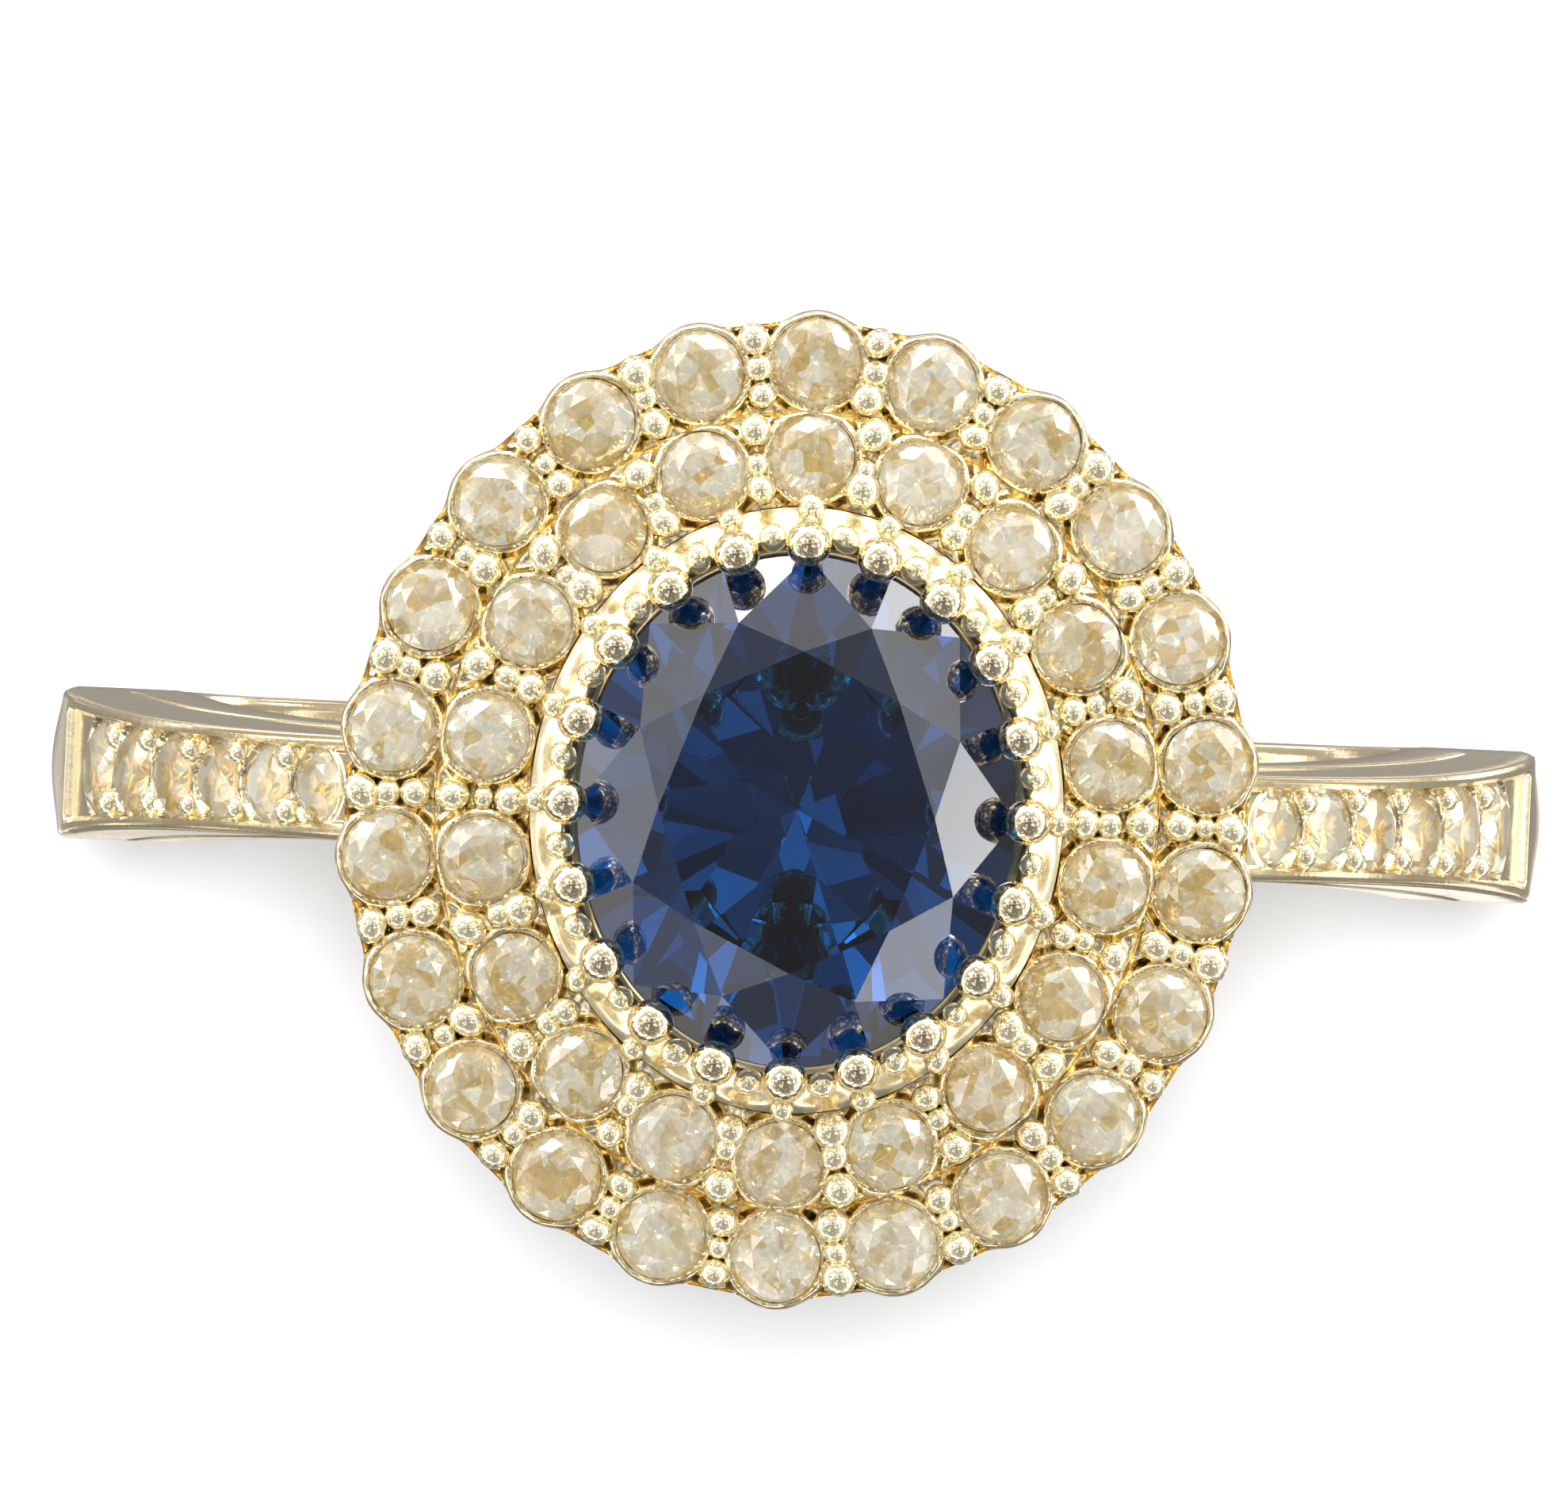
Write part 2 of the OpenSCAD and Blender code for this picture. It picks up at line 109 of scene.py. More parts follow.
class Stone:
    """A round stone in its place: diameter, middle of its girdle, and the way its table faces."""

    # Heights of a round brilliant above and below its girdle, as shares of its diameter
    CROWN = 0.15
    PAVILION = 0.43

    def __init__(self, diameter, girdle, axis):
        self.diameter = diameter
        self.girdle = girdle
        self.axis = axis

    @classmethod
    def upright(cls, node):
        low, high = box_mm(node)
        diameter = (high[2] - low[2]) / (cls.CROWN + cls.PAVILION)
        middle = (low + high) / 2
        girdle = np.array([middle[0], middle[1], high[2] - cls.CROWN * diameter])
        return cls(diameter, girdle, np.array([0.0, 0.0, 1.0]))


def islands(node):
    """The separate solids of a CAD node, each as an array of its corners in millimetres."""
    work = bmesh.new()
    work.from_mesh(frame["nodes"][node].data)
    bmesh.ops.remove_doubles(work, verts=work.verts, dist=1e-6)
    found = []
    seen = set()
    for vert in work.verts:
        if vert not in seen:
            part = linked([vert])
            seen.update(part)
            found.append(np.array([corner.co for corner in part]) / MM)
    work.free()
    return found


def linked(verts):
    """The vertices given and all that edges join to them, in the same order on every run."""
    part = list(verts)
    seen = set(part)
    for vert in part:
        for edge in vert.link_edges:
            other = edge.other_vert(vert)
            if other not in seen:
                seen.add(other)
                part.append(other)
    return part


def stones_of(node):
    """The stones of a node that holds a row of them, from the head downwards."""
    row = []
    for corners in islands(node):
        middle = (corners.min(0) + corners.max(0)) / 2
        # A stone is thinnest along the way that it faces
        _, _, turns = np.linalg.svd(corners - corners.mean(0))
        axis = turns[2] if turns[2] @ middle > 0 else -turns[2]
        reach = corners @ axis
        diameter = (reach.max() - reach.min()) / (Stone.CROWN + Stone.PAVILION)
        foot = corners[reach.argmin()]
        girdle = foot + axis * Stone.PAVILION * diameter
        row.append(Stone(diameter, girdle, axis))
    return sorted(row, key=lambda s: -s.girdle[2])


OUTER_STONES = [Stone.upright(n) for n in OUTER_ROW]
INNER_STONES = [Stone.upright(n) for n in INNER_ROW]
ARM_STONES = stones_of("right_shoulder_diamonds")


class Arm:
    """The arc that the right shoulder follows, worked out from its stones and its box."""

    WALL = 1.5
    RAIL = 0.2
    CHANNEL = 0.12
    FLARE = 8.0
    CHANNEL_FOOT = math.radians(10)
    # The shoulder is narrowest from this far below its top, and is measured a little lower
    NECK_DROP = 1.0
    NECK_REACH = 1.2

    def __init__(self):
        low, high = box_mm("right_shoulder")
        first, last = ARM_STONES[0], ARM_STONES[-1]
        slopes = [s.axis[2] / s.axis[0] for s in (first, last)]
        feet = [s.girdle[0] - s.girdle[2] / k for s, k in zip((first, last), slopes)]
        self.back = -sum(feet) / 2
        self.out_r = high[0] + self.back
        self.in_r = self.out_r - self.WALL
        self.top_z = high[2]
        self.side_w = high[1] - low[1]
        corners = np.array([v.co for v in frame["nodes"]["right_shoulder"].data.vertices]) / MM
        neck = corners[corners[:, 2] > self.top_z - self.NECK_REACH]
        self.neck_w = 2 * np.abs(neck[:, 1]).max()
        self.neck_z = self.top_z - self.NECK_DROP
        spread = self.side_w - self.neck_w
        self.flare_r = (self.FLARE**2 + (spread / 2) ** 2) / spread

    def half_w(self, z):
        """Half the width of the ring at height z."""
        off = np.minimum(self.FLARE, np.abs(self.neck_z - z))
        flared = self.neck_w / 2 + self.flare_r - np.sqrt(self.flare_r**2 - off**2)
        return np.minimum(self.side_w / 2, flared)

    def turn_of(self, stone):
        return math.atan2(stone.girdle[2], stone.girdle[0] + self.back)


ARM = Arm()
BORE_R = float(frame["record"]["mounts"][0]["dims"]["r_mm"])


# ---- Settings ----


class RingSizes(bpy.types.PropertyGroup):
    """Sizes of the finished surfaces, in metres."""

    seat_rim: FloatProperty(
        name="Seat rim", description="How high the bright rim stands round each halo stone",
        default=0.03 * MM, min=0, unit="LENGTH",
    )
    valley: FloatProperty(
        name="Valley", description="How deep the metal lies between the seats of the halo",
        default=0.15 * MM, min=0, unit="LENGTH",
    )
    edge_round: FloatProperty(
        name="Edge rounding", description="Radius that the polishing leaves on outer edges",
        default=0.1 * MM, min=0, unit="LENGTH",
    )
    claw_ball: FloatProperty(
        name="Claw ball", description="Radius of the ball on a claw",
        default=0.32 * MM, min=0, unit="LENGTH",
    )
    stone_tilt: FloatProperty(
        name="Stone tilt", description="How far a hand-set stone may lean from its seat",
        default=math.radians(2.5), min=0, subtype="ANGLE",
    )
    camera_distance: FloatProperty(
        name="Camera distance", description="Distance of the camera from the head of the ring",
        default=0.45, min=0.1, unit="LENGTH",
    )
    camera_turn: FloatProperty(
        name="Camera turn", description="Turn of the camera about its line of sight",
        default=math.radians(2.6), subtype="ANGLE",
    )
    camera_tilt: FloatProperty(
        name="Camera tilt", description="How far the camera leans towards +Y from straight above",
        default=math.radians(1.0), subtype="ANGLE",
    )
    seed: IntProperty(name="Seed", description="Seed of the hand-set unevenness", default=7)


class RingColours(bpy.types.PropertyGroup):
    """Colours of the metal, the stones and the studio."""

    gold: FloatVectorProperty(
        name="Gold", description="Colour of the polished gold", subtype="COLOR",
        default=(0.93, 0.77, 0.46), min=0, max=1,
    )
    gold_pale: FloatVectorProperty(
        name="Pale gold", description="Colour of the gold where it is buffed brightest", subtype="COLOR",
        default=(0.97, 0.88, 0.66), min=0, max=1,
    )
    # Pale end of the small stones' colour: their clearest tint, and the painted white glints in their
    # facets
    diamond: FloatVectorProperty(
        name="Diamond", description="Tint of the clearest of the small stones", subtype="COLOR",
        default=(1.0, 0.96, 0.77), min=0, max=1,
    )
    # Dark end of the small stones' colour: their yellowest tint, and the painted brown shade in their
    # facets
    diamond_deep_and_shade: FloatVectorProperty(
        name="Deep diamond", description="Tint of the yellowest of the small stones", subtype="COLOR",
        default=(0.74, 0.54, 0.2), min=0, max=1,
    )
    sapphire: FloatVectorProperty(
        name="Sapphire", description="Tint of the centre stone", subtype="COLOR",
        default=(0.17, 0.4, 0.62), min=0, max=1,
    )
    sapphire_deep: FloatVectorProperty(
        name="Deep sapphire", description="Tint of the darker zones of the centre stone",
        subtype="COLOR", default=(0.11, 0.3, 0.5), min=0, max=1,
    )
    floor: FloatVectorProperty(
        name="Floor", description="Colour of the studio floor", subtype="COLOR",
        default=(0.55, 0.55, 0.55), min=0, max=1,
    )


def sizes():
    return bpy.context.scene.ring_sizes


def colours():
    return bpy.context.scene.ring_colours


# ---- Meshes ----


def as_mesh(work, name):
    """Ends a bmesh and keeps its shape as a mesh."""
    mesh = bpy.data.meshes.new(name)
    work.to_mesh(mesh)
    work.free()
    return mesh


def finish_piece(work, name, material, node, sharp=math.radians(40)):
    """Turns a bmesh in metres into a piece that stands for the node and rides on the ring."""
    mesh = as_mesh(work, name)
    piece = bpy.data.objects.new(name, mesh)
    bpy.context.scene.collection.objects.link(piece)
    mesh.materials.append(material)
    mesh.shade_smooth()
    mesh.set_sharp_from_angle(angle=sharp)
    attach(piece, "root")
    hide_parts(node)
    slot_of(node)


def slot_of(node):
    """The record's material slot of a CAD node."""
    return next(s["material_slot"] for s in frame["record"]["subparts"] if s["node"] == node)


def sheet(points, close_u=True, close_v=True):
    """A grid laid over an array of places [u, v, xyz] in millimetres, closed along u, v or both."""
    points = np.asarray(points, float)
    count_u, count_v = points.shape[:2]
    work = bmesh.new()
    bmesh.ops.create_grid(
        work, x_segments=count_u - (not close_u), y_segments=count_v - (not close_v), size=1
    )
    steps_u, steps_v = count_u - (not close_u), count_v - (not close_v)
    for vert in work.verts:
        u = round((vert.co.x + 1) / 2 * steps_u) % count_u
        v = round((vert.co.y + 1) / 2 * steps_v) % count_v
        vert.co = points[u, v] * MM
    bmesh.ops.remove_doubles(work, verts=work.verts, dist=1e-8)
    if not (close_u and close_v):
        rims = [e for e in work.edges if e.is_boundary]
        bmesh.ops.holes_fill(work, edges=rims)
    bmesh.ops.recalc_face_normals(work, faces=work.faces)
    return work


def rows(*stretches):
    """Positions along a line: each stretch is (start, end, steps), and its end is left out."""
    return np.concatenate([np.linspace(a, b, n, endpoint=False) for a, b, n in stretches])


def oval_at(half_x, half_y, turns):
    return np.stack([half_x * np.cos(turns), half_y * np.sin(turns)], -1)


def upright(line, start, end, steps):
    """Rows of a wall that stands on a line."""
    heights = np.linspace(start, end, steps)
    flat = np.repeat(line[:, None], steps, 1)
    tall = np.broadcast_to(heights[None, :, None], flat.shape[:2] + (1,))
    return np.concatenate([flat, tall], -1)


def level(start, end, z, steps):
    """Rows of a flat face between two lines."""
    share = np.linspace(0, 1, steps)[None, :, None]
    flat = start[:, None] * (1 - share) + end[:, None] * share
    return np.concatenate([flat, np.full(flat.shape[:2] + (1,), z)], -1)


def half_sizes(node):
    """Half the width and half the length of a node's box."""
    low, high = box_mm(node)
    return (high[0] - low[0]) / 2, (high[1] - low[1]) / 2


def seat_height(places, stones):
    """Height of set metal beside round stones, over and under the face that holds their girdles.
    It falls away under a stone, stands up as a rim round it and lies lower between the stones."""
    rim = sizes().seat_rim / MM
    valley = sizes().valley / MM
    nearest = np.full(places.shape[:-1], FAR)
    for stone in stones:
        off = np.linalg.norm(places - stone.girdle[:2], axis=-1) - stone.diameter / 2
        nearest = np.minimum(nearest, off)
    reach = [-0.6, -0.012, 0.0, 0.03, 0.055, 0.09, 0.13, 0.19, 0.26]
    height = [-0.6, -0.075, -0.06, rim * 0.8, rim, rim * 0.6, -valley * 0.3, -valley * 0.85, -valley]
    return np.interp(nearest, reach, height)


def unevenness(places):
    """Height of the slight waves that graving and polishing leave between the stones."""
    flat = places.reshape(-1, 2) * WAVE_TURNS
    waves = [noise.noise(Vector((x, y, 0))) for x, y in flat]
    return np.array(waves).reshape(places.shape[:-1]) * WAVE_HEIGHT


def round_over(gap, radius):
    """How far a rounded edge falls at a distance from the edge."""
    inside = np.clip(radius - gap, 0, radius)
    return radius - np.sqrt(radius**2 - inside**2)


# ---- Materials ----


class Value:
    """A node's output that adds a Math node when it is used in an expression."""

    def __init__(self, finish, output):
        self.finish = finish
        self.output = output

    def _math(self, operation, first, second):
        made = self.finish.node("ShaderNodeMath", {"operation": operation}, {0: first, 1: second})
        return Value(self.finish, made.outputs[0])

    def __add__(self, other):
        return self._math("ADD", self, other)

    def __radd__(self, other):
        return self._math("ADD", other, self)

    def __sub__(self, other):
        return self._math("SUBTRACT", self, other)

    def __rsub__(self, other):
        return self._math("SUBTRACT", other, self)

    def __mul__(self, other):
        return self._math("MULTIPLY", self, other)

    def __rmul__(self, other):
        return self._math("MULTIPLY", other, self)

    def least(self, other):
        return self._math("MINIMUM", self, other)

    def most(self, other):
        return self._math("MAXIMUM", self, other)


class Finish:
    """A material or world that is being put together from nodes."""

    def __init__(self, owner):
        owner.use_nodes = True
        self.tree = owner.node_tree
        self.tree.nodes.clear()

    def node(self, kind, settings=None, sockets=None):
        """Adds a node. Settings come first, a ramp's as stops, and then its sockets' values or links."""
        made = self.tree.nodes.new(kind)
        for key, value in (settings or {}).items():
            if key == "stops":
                ramp = made.color_ramp
                while len(ramp.elements) < len(value):
                    ramp.elements.new(0.5)
                for element, (place, colour) in zip(ramp.elements, value):
                    element.position = place
                    element.color = (*colour, 1)
            else:
                setattr(made, key, value)
        for key, value in (sockets or {}).items():
            target = made.inputs[key]
            if isinstance(value, Value):
                self.tree.links.new(value.output, target)
            elif isinstance(value, bpy.types.NodeSocket):
                self.tree.links.new(value, target)
            else:
                target.default_value = value
        return made

    def value(self, made, output=0):
        return Value(self, made.outputs[output])

    def mix(self, factor, first, second):
        """A colour between two others."""
        made = self.node("ShaderNodeMix", {"data_type": "RGBA"}, {0: factor, 6: first, 7: second})
        return made.outputs[2]

    def noise(self, scale, detail=2.0, rough=0.5):
        """Noise on the piece's own place, from 0 to 1. Scale is in turns per metre."""
        place = self.node("ShaderNodeTexCoord")
        made = self.node(
            "ShaderNodeTexNoise", {},
            {"Vector": place.outputs["Object"], "Scale": scale, "Detail": detail, "Roughness": rough},
        )
        return self.value(made, "Fac")

    def cells(self, scale):
        """A value of its own, from 0 to 1, for each small cell of the piece."""
        place = self.node("ShaderNodeTexCoord")
        made = self.node(
            "ShaderNodeTexVoronoi", {}, {"Vector": place.outputs["Object"], "Scale": scale}
        )
        parts = self.node("ShaderNodeSeparateXYZ", {}, {0: made.outputs["Color"]})
        return self.value(parts)


def rgba(colour):
    return (*colour, 1.0)


def gold_finish(name, rough=0.16, bump=0.25):
    """Polished gold with the faint clouding and fine lines that polishing leaves."""
    material = bpy.data.materials.get(name)
    if material:
        return material
    material = bpy.data.materials.new(name)
    look = Finish(material)
    cloud = look.noise(scale=900, detail=3)
    lines = look.noise(scale=9000, detail=2, rough=0.6)
    pitted = look.noise(scale=3200, detail=2)
    colour = look.mix(cloud * 0.6, rgba(colours().gold), rgba(colours().gold_pale))
    relief = look.node(
        "ShaderNodeBump", {}, {"Strength": bump, "Distance": 2e-5, "Height": lines * 0.4 + pitted}
    )
    shader = look.node(
        "ShaderNodeBsdfPrincipled", {},
        {
            "Base Color": colour,
            "Metallic": 1.0,
            "Roughness": rough + (lines - 0.5) * 0.16 + (cloud - 0.5) * 0.1,
            "Normal": relief.outputs[0],
        },
    )
    look.node("ShaderNodeOutputMaterial", {}, {"Surface": shader.outputs[0]})
    return material


def diamond_finish():
    """A clear stone with a warm tint that varies at random, and painted light: small cells of painted
    white glint and painted brown shade in its colour.
    """
    material = bpy.data.materials.get("champagne_diamond")
    if material:
        return material
    material = bpy.data.materials.new("champagne_diamond")
    look = Finish(material)
    warmth = look.noise(scale=420, detail=1)
    # Painted light: cells of about a quarter millimetre, each a painted white glint or painted brown
    # shade, mixed with a warm tint that varies at random across the stones
    painted_glint_and_shade = (look.cells(scale=4200) - 0.25) * 1.5 + (warmth - 0.5) * 1.2
    painted_glint_and_shade = painted_glint_and_shade.most(0.0).least(1.0)
    colour = look.mix(painted_glint_and_shade, rgba(colours().diamond), rgba(colours().diamond_deep_and_shade))
    shader = look.node(
        "ShaderNodeBsdfPrincipled", {},
        {"Base Color": colour, "Roughness": 0.02, "IOR": 2.3, "Transmission Weight": 0.76},
    )
    look.node("ShaderNodeOutputMaterial", {}, {"Surface": shader.outputs[0]})
    return material


def sapphire_finish():
    """Deep blue corundum: tinted where light crosses its skin and darker with depth."""
    material = bpy.data.materials.get("deep_sapphire")
    if material:
        return material
    material = bpy.data.materials.new("deep_sapphire")
    look = Finish(material)
    zone = look.noise(scale=260, detail=2)
    colour = look.mix(zone, rgba(colours().sapphire), rgba(colours().sapphire_deep))
    shader = look.node(
        "ShaderNodeBsdfPrincipled", {},
        {"Base Color": colour, "Roughness": 0.0, "IOR": 1.77, "Transmission Weight": 1.0},
    )
    depth = look.node("ShaderNodeVolumeAbsorption", {}, {"Color": (0.1, 0.5, 0.7, 1), "Density": 560.0})
    look.node(
        "ShaderNodeOutputMaterial", {}, {"Surface": shader.outputs[0], "Volume": depth.outputs[0]}
    )
    return material


# ---- Stones ----


def cut(work, turn, nearer, farther):
    """Cuts one facet: the flat through two points (radius, height) that faces out at that turn."""
    (r1, z1), (r2, z2) = nearer, farther
    across = (z1 - z2, r2 - r1)
    if across[0] * r2 + across[1] * z2 < 0:
        across = (-across[0], -across[1])
    normal = Vector((across[0] * math.cos(turn), across[0] * math.sin(turn), across[1]))
    point = Vector((r2 * math.cos(turn), r2 * math.sin(turn), z2))
    made = bmesh.ops.bisect_plane(
        work, geom=work.verts[:] + work.edges[:] + work.faces[:], dist=1e-6,
        plane_co=point, plane_no=normal, clear_outer=True,
    )
    rim = [e for e in made["geom_cut"] if isinstance(e, bmesh.types.BMEdge)]
    if rim:
        bmesh.ops.contextual_create(work, geom=rim)


def cut_brilliant(segments, crown, pavilion, girdle, table=0.58, star=0.76, keel=0.24):
    """An eight-fold brilliant with a girdle of radius 1 at the origin; its heights are given."""
    work = bmesh.new()
    bmesh.ops.create_cone(
        work, cap_ends=True, segments=segments, radius1=1, radius2=1, depth=2 * pavilion
    )
    half = girdle / 2
    step = math.radians(22.5)
    star_z = half + (1 - star * math.cos(step)) * (crown - half) / (1 - table)
    keel_z = -pavilion + keel * math.cos(step) * (pavilion - half)
    chord = math.cos(step / 2)
    for k in range(MAINS):
        cut(work, 2 * k * step, (table, crown), (1, half))
        cut(work, (2 * k + 1) * step, (table * math.cos(step), crown), (star, star_z))
        cut(work, 2 * k * step, (0, -pavilion), (1, -half))
    for k in range(2 * MAINS):
        turn = (k + 0.5) * step
        cut(work, turn, (star * chord, star_z), (chord, half))
        cut(work, turn, (keel * chord, keel_z), (chord, -half))
    cut(work, 0, (0, crown), (0.1, crown))
    bmesh.ops.remove_doubles(work, verts=work.verts, dist=1e-5)
    bmesh.ops.recalc_face_normals(work, faces=work.faces)
    return work


def round_stone():
    """A mesh of the shape that all the round stones share, with a diameter of 1."""
    work = cut_brilliant(ROUND_SIDES, Stone.CROWN * 2, Stone.PAVILION * 2, ROUND_GIRDLE)
    bmesh.ops.scale(work, verts=work.verts, vec=(0.5, 0.5, 0.5))
    return as_mesh(work, "round_brilliant")


def set_stone(work, stone, dice, side=1):
    """Puts a shape of diameter 1 in a stone's place, turned and leaning as hand setting leaves it."""
    axis = Vector(stone.axis)
    lean = Vector((dice.uniform(-1, 1), dice.uniform(-1, 1), dice.uniform(-1, 1)))
    facing = (axis + lean * math.tan(sizes().stone_tilt)).normalized()
    spin = Matrix.Rotation(dice.uniform(0, math.tau), 4, "Z")
    aim = facing.to_track_quat("Z", "Y").to_matrix().to_4x4()
    sized = Matrix.Scale(stone.diameter * MM, 4)
    place = Matrix.Translation(Vector(stone.girdle) * MM) @ aim @ spin @ sized
    bmesh.ops.transform(work, matrix=place, verts=work.verts)
    if side < 0:
        bmesh.ops.scale(work, verts=work.verts, vec=(-1, 1, 1))
        bmesh.ops.reverse_faces(work, faces=work.faces)


class RING_OT_halo_stones(bpy.types.Operator):
    """Cut the round stones of both halo rows"""

    bl_idname = "ring.halo_stones"
    bl_label = "Halo Stones"

    def execute(self, context):
        dice = random.Random(sizes().seed)
        shape = round_stone()
        for node, stone in zip(OUTER_ROW + INNER_ROW, OUTER_STONES + INNER_STONES):
            work = bmesh.new()
            work.from_mesh(shape)
            set_stone(work, stone, dice)
            finish_piece(work, node + "_cut", diamond_finish(), node, sharp=FACET_EDGE)
        bpy.data.meshes.remove(shape)
        return {"FINISHED"}


class RING_OT_shoulder_stones(bpy.types.Operator):
    """Cut the round stones that run down both shoulders"""

    bl_idname = "ring.shoulder_stones"
    bl_label = "Shoulder Stones"

    def execute(self, context):
        dice = random.Random(sizes().seed + 1)
        shape = round_stone()
        for name, side in (("right", 1), ("left", -1)):
            whole = bmesh.new()
            for stone in ARM_STONES:
                work = bmesh.new()
                work.from_mesh(shape)
                set_stone(work, stone, dice, side)
                part = as_mesh(work, "one_stone")
                whole.from_mesh(part)
                bpy.data.meshes.remove(part)
            node = f"{name}_shoulder_diamonds"
            finish_piece(whole, node + "_cut", diamond_finish(), node, sharp=FACET_EDGE)
        bpy.data.meshes.remove(shape)
        return {"FINISHED"}


class RING_OT_centre_stone(bpy.types.Operator):
    """Cut the oval centre stone"""

    bl_idname = "ring.centre_stone"
    bl_label = "Centre Stone"

    GIRDLE = 0.14
    DEPTH = 2.6
    SIDES = 96
    # Radii of the table, the star points and the pavilion points, as shares of the half width
    TABLE = 0.63
    STAR = 0.79
    KEEL = 0.28

    def execute(self, context):
        low, high = box_mm("centre_sapphire")
        half_x, half_y = half_sizes("centre_sapphire")
        girdle_z = low[2] + self.DEPTH
        work = cut_brilliant(
            self.SIDES, high[2] - girdle_z, self.DEPTH, self.GIRDLE,
            table=self.TABLE, star=self.STAR, keel=self.KEEL,
        )
        bmesh.ops.scale(work, verts=work.verts, vec=(half_x * MM, half_y * MM, MM))
        bmesh.ops.translate(work, verts=work.verts, vec=(0, 0, girdle_z * MM))
        finish_piece(
            work, "centre_sapphire_cut", sapphire_finish(), "centre_sapphire", sharp=FACET_EDGE
        )
        return {"FINISHED"}


# ---- The head ----


class RING_OT_outer_tier(bpy.types.Operator):
    """Shape the scalloped outer tier of the halo, with its stone seats"""

    bl_idname = "ring.outer_tier"
    bl_label = "Outer Tier"

    AROUND = 1100
    # How far the lobes stand out from the edge between them
    STAND_OUT = 0.18
    # How far the tier reaches in under the inner one, so that the solder seam is closed
    TUCK = 0.03
    # Rounds of smoothing that the notches get from the files
    SMOOTHINGS = 14
    # Share of the width that the rounded edge and its finer rows take
    EDGE_SHARE = 0.12
    # Share of the width that the flat underside takes, and the bevel at the tier's inner foot
    UNDERSIDE = 0.94
    BEVEL = 0.05

    def execute(self, context):
        low, high = box_mm("halo_outer_tier")
        joint_x, joint_y = half_sizes("halo_inner_tier")
        turns = np.linspace(0, math.tau, self.AROUND, endpoint=False)
        inner = oval_at(joint_x - self.TUCK, joint_y - self.TUCK, turns)
        edge_y = high[1] - self.STAND_OUT
        base = oval_at(edge_y - (joint_y - joint_x), edge_y, turns)
        out = base - inner
        width = np.linalg.norm(out, axis=-1)
        out /= width[:, None]
        lobe_r = high[1] - max(s.girdle[1] for s in OUTER_STONES)
        for stone in OUTER_STONES:
            off = stone.girdle[:2] - inner
            ahead = (off * out).sum(-1)
            beside = np.abs(off[:, 0] * out[:, 1] - off[:, 1] * out[:, 0])
            hit = beside < lobe_r
            lobe = ahead + np.sqrt(np.maximum(lobe_r**2 - beside**2, 0))
            width = np.where(hit, np.maximum(width, lobe), width)
        for _ in range(self.SMOOTHINGS):
            width = (np.roll(width, 1) + width * 2 + np.roll(width, -1)) / 4
        edge = sizes().edge_round / MM
        across = rows((0, 1 - self.EDGE_SHARE, 34), (1 - self.EDGE_SHARE, 1, 9))
        top = inner[:, None] + out[:, None] * (width[:, None] * across)[..., None]
        gap = width[:, None] * (1 - across)
        height = high[2] + seat_height(top, OUTER_STONES) + unevenness(top)
        height -= round_over(gap, edge)
        face = np.concatenate([top, height[..., None]], -1)
        rim = inner + out * width[:, None]
        wall = upright(rim, high[2] - edge, low[2] + edge, 6)
        foot_in = inner + out * (width * self.UNDERSIDE)[:, None]
        under = level(foot_in, inner + out * self.BEVEL, low[2], 5)
        back = upright(inner, low[2] + self.BEVEL, high[2] - edge, 4)
        finish_piece(
            sheet(np.concatenate([face, wall, under, back], 1)), "halo_outer_tier_set",
            gold_finish("gold_halo"), "halo_outer_tier",
        )
        return {"FINISHED"}


class RING_OT_inner_tier(bpy.types.Operator):
    """Shape the raised inner tier of the halo, with its stone seats"""

    bl_idname = "ring.inner_tier"
    bl_label = "Inner Tier"

    AROUND = 900
    # The rounding of the inner edge, as a share of the outer edge's
    INNER_EDGE = 0.3
    # How far the underside draws in from the walls, as a share, and the bevel that closes it
    DRAW_IN = 0.01
    BEVEL = 0.05

    def execute(self, context):
        low, high = box_mm("halo_inner_tier")
        joint_x, joint_y = half_sizes("halo_inner_tier")
        turns = np.linspace(0, math.tau, self.AROUND, endpoint=False)
        hole_x, hole_y = half_sizes("collet_upper_rail")
        inner = oval_at(hole_x, hole_y, turns)
        outer = oval_at(joint_x, joint_y, turns)
        across = rows((0, 0.08, 6), (0.08, 0.92, 30), (0.92, 1, 6))
        top = inner[:, None] + (outer - inner)[:, None] * across[None, :, None]
        width = np.linalg.norm(outer - inner, axis=-1)[:, None]
        edge = sizes().edge_round / MM
        height = high[2] + seat_height(top, INNER_STONES) + unevenness(top)
        height -= round_over(width * (1 - across), edge)
        height -= round_over(width * across, edge * self.INNER_EDGE)
        face = np.concatenate([top, height[..., None]], -1)
        wall = upright(outer, high[2] - edge, low[2] + self.BEVEL, 5)
        under = level(outer * (1 - self.DRAW_IN), inner * (1 + self.DRAW_IN), low[2], 5)
        back = upright(inner, low[2] + self.BEVEL, high[2] - edge, 5)
        finish_piece(
            sheet(np.concatenate([face, wall, under, back], 1)), "halo_inner_tier_set",
            gold_finish("gold_halo"), "halo_inner_tier",
        )
        return {"FINISHED"}


# Grains are raised by hand: the spans of their size and of their stretch along each axis, and how
# far they drift from their place, as shares of their radius
GRAIN_SIZES = (1.05, 1.3)
GRAIN_STRETCH = ((0.9, 1.15), (0.9, 1.1), (0.8, 1.15))
GRAIN_DRIFT = 0.12


def ball(segments, rings):
    """A mesh of a ball of radius 1, to be copied many times."""
    work = bmesh.new()
    bmesh.ops.create_uvsphere(work, u_segments=segments, v_segments=rings, radius=1)
    return as_mesh(work, "grain_shape")


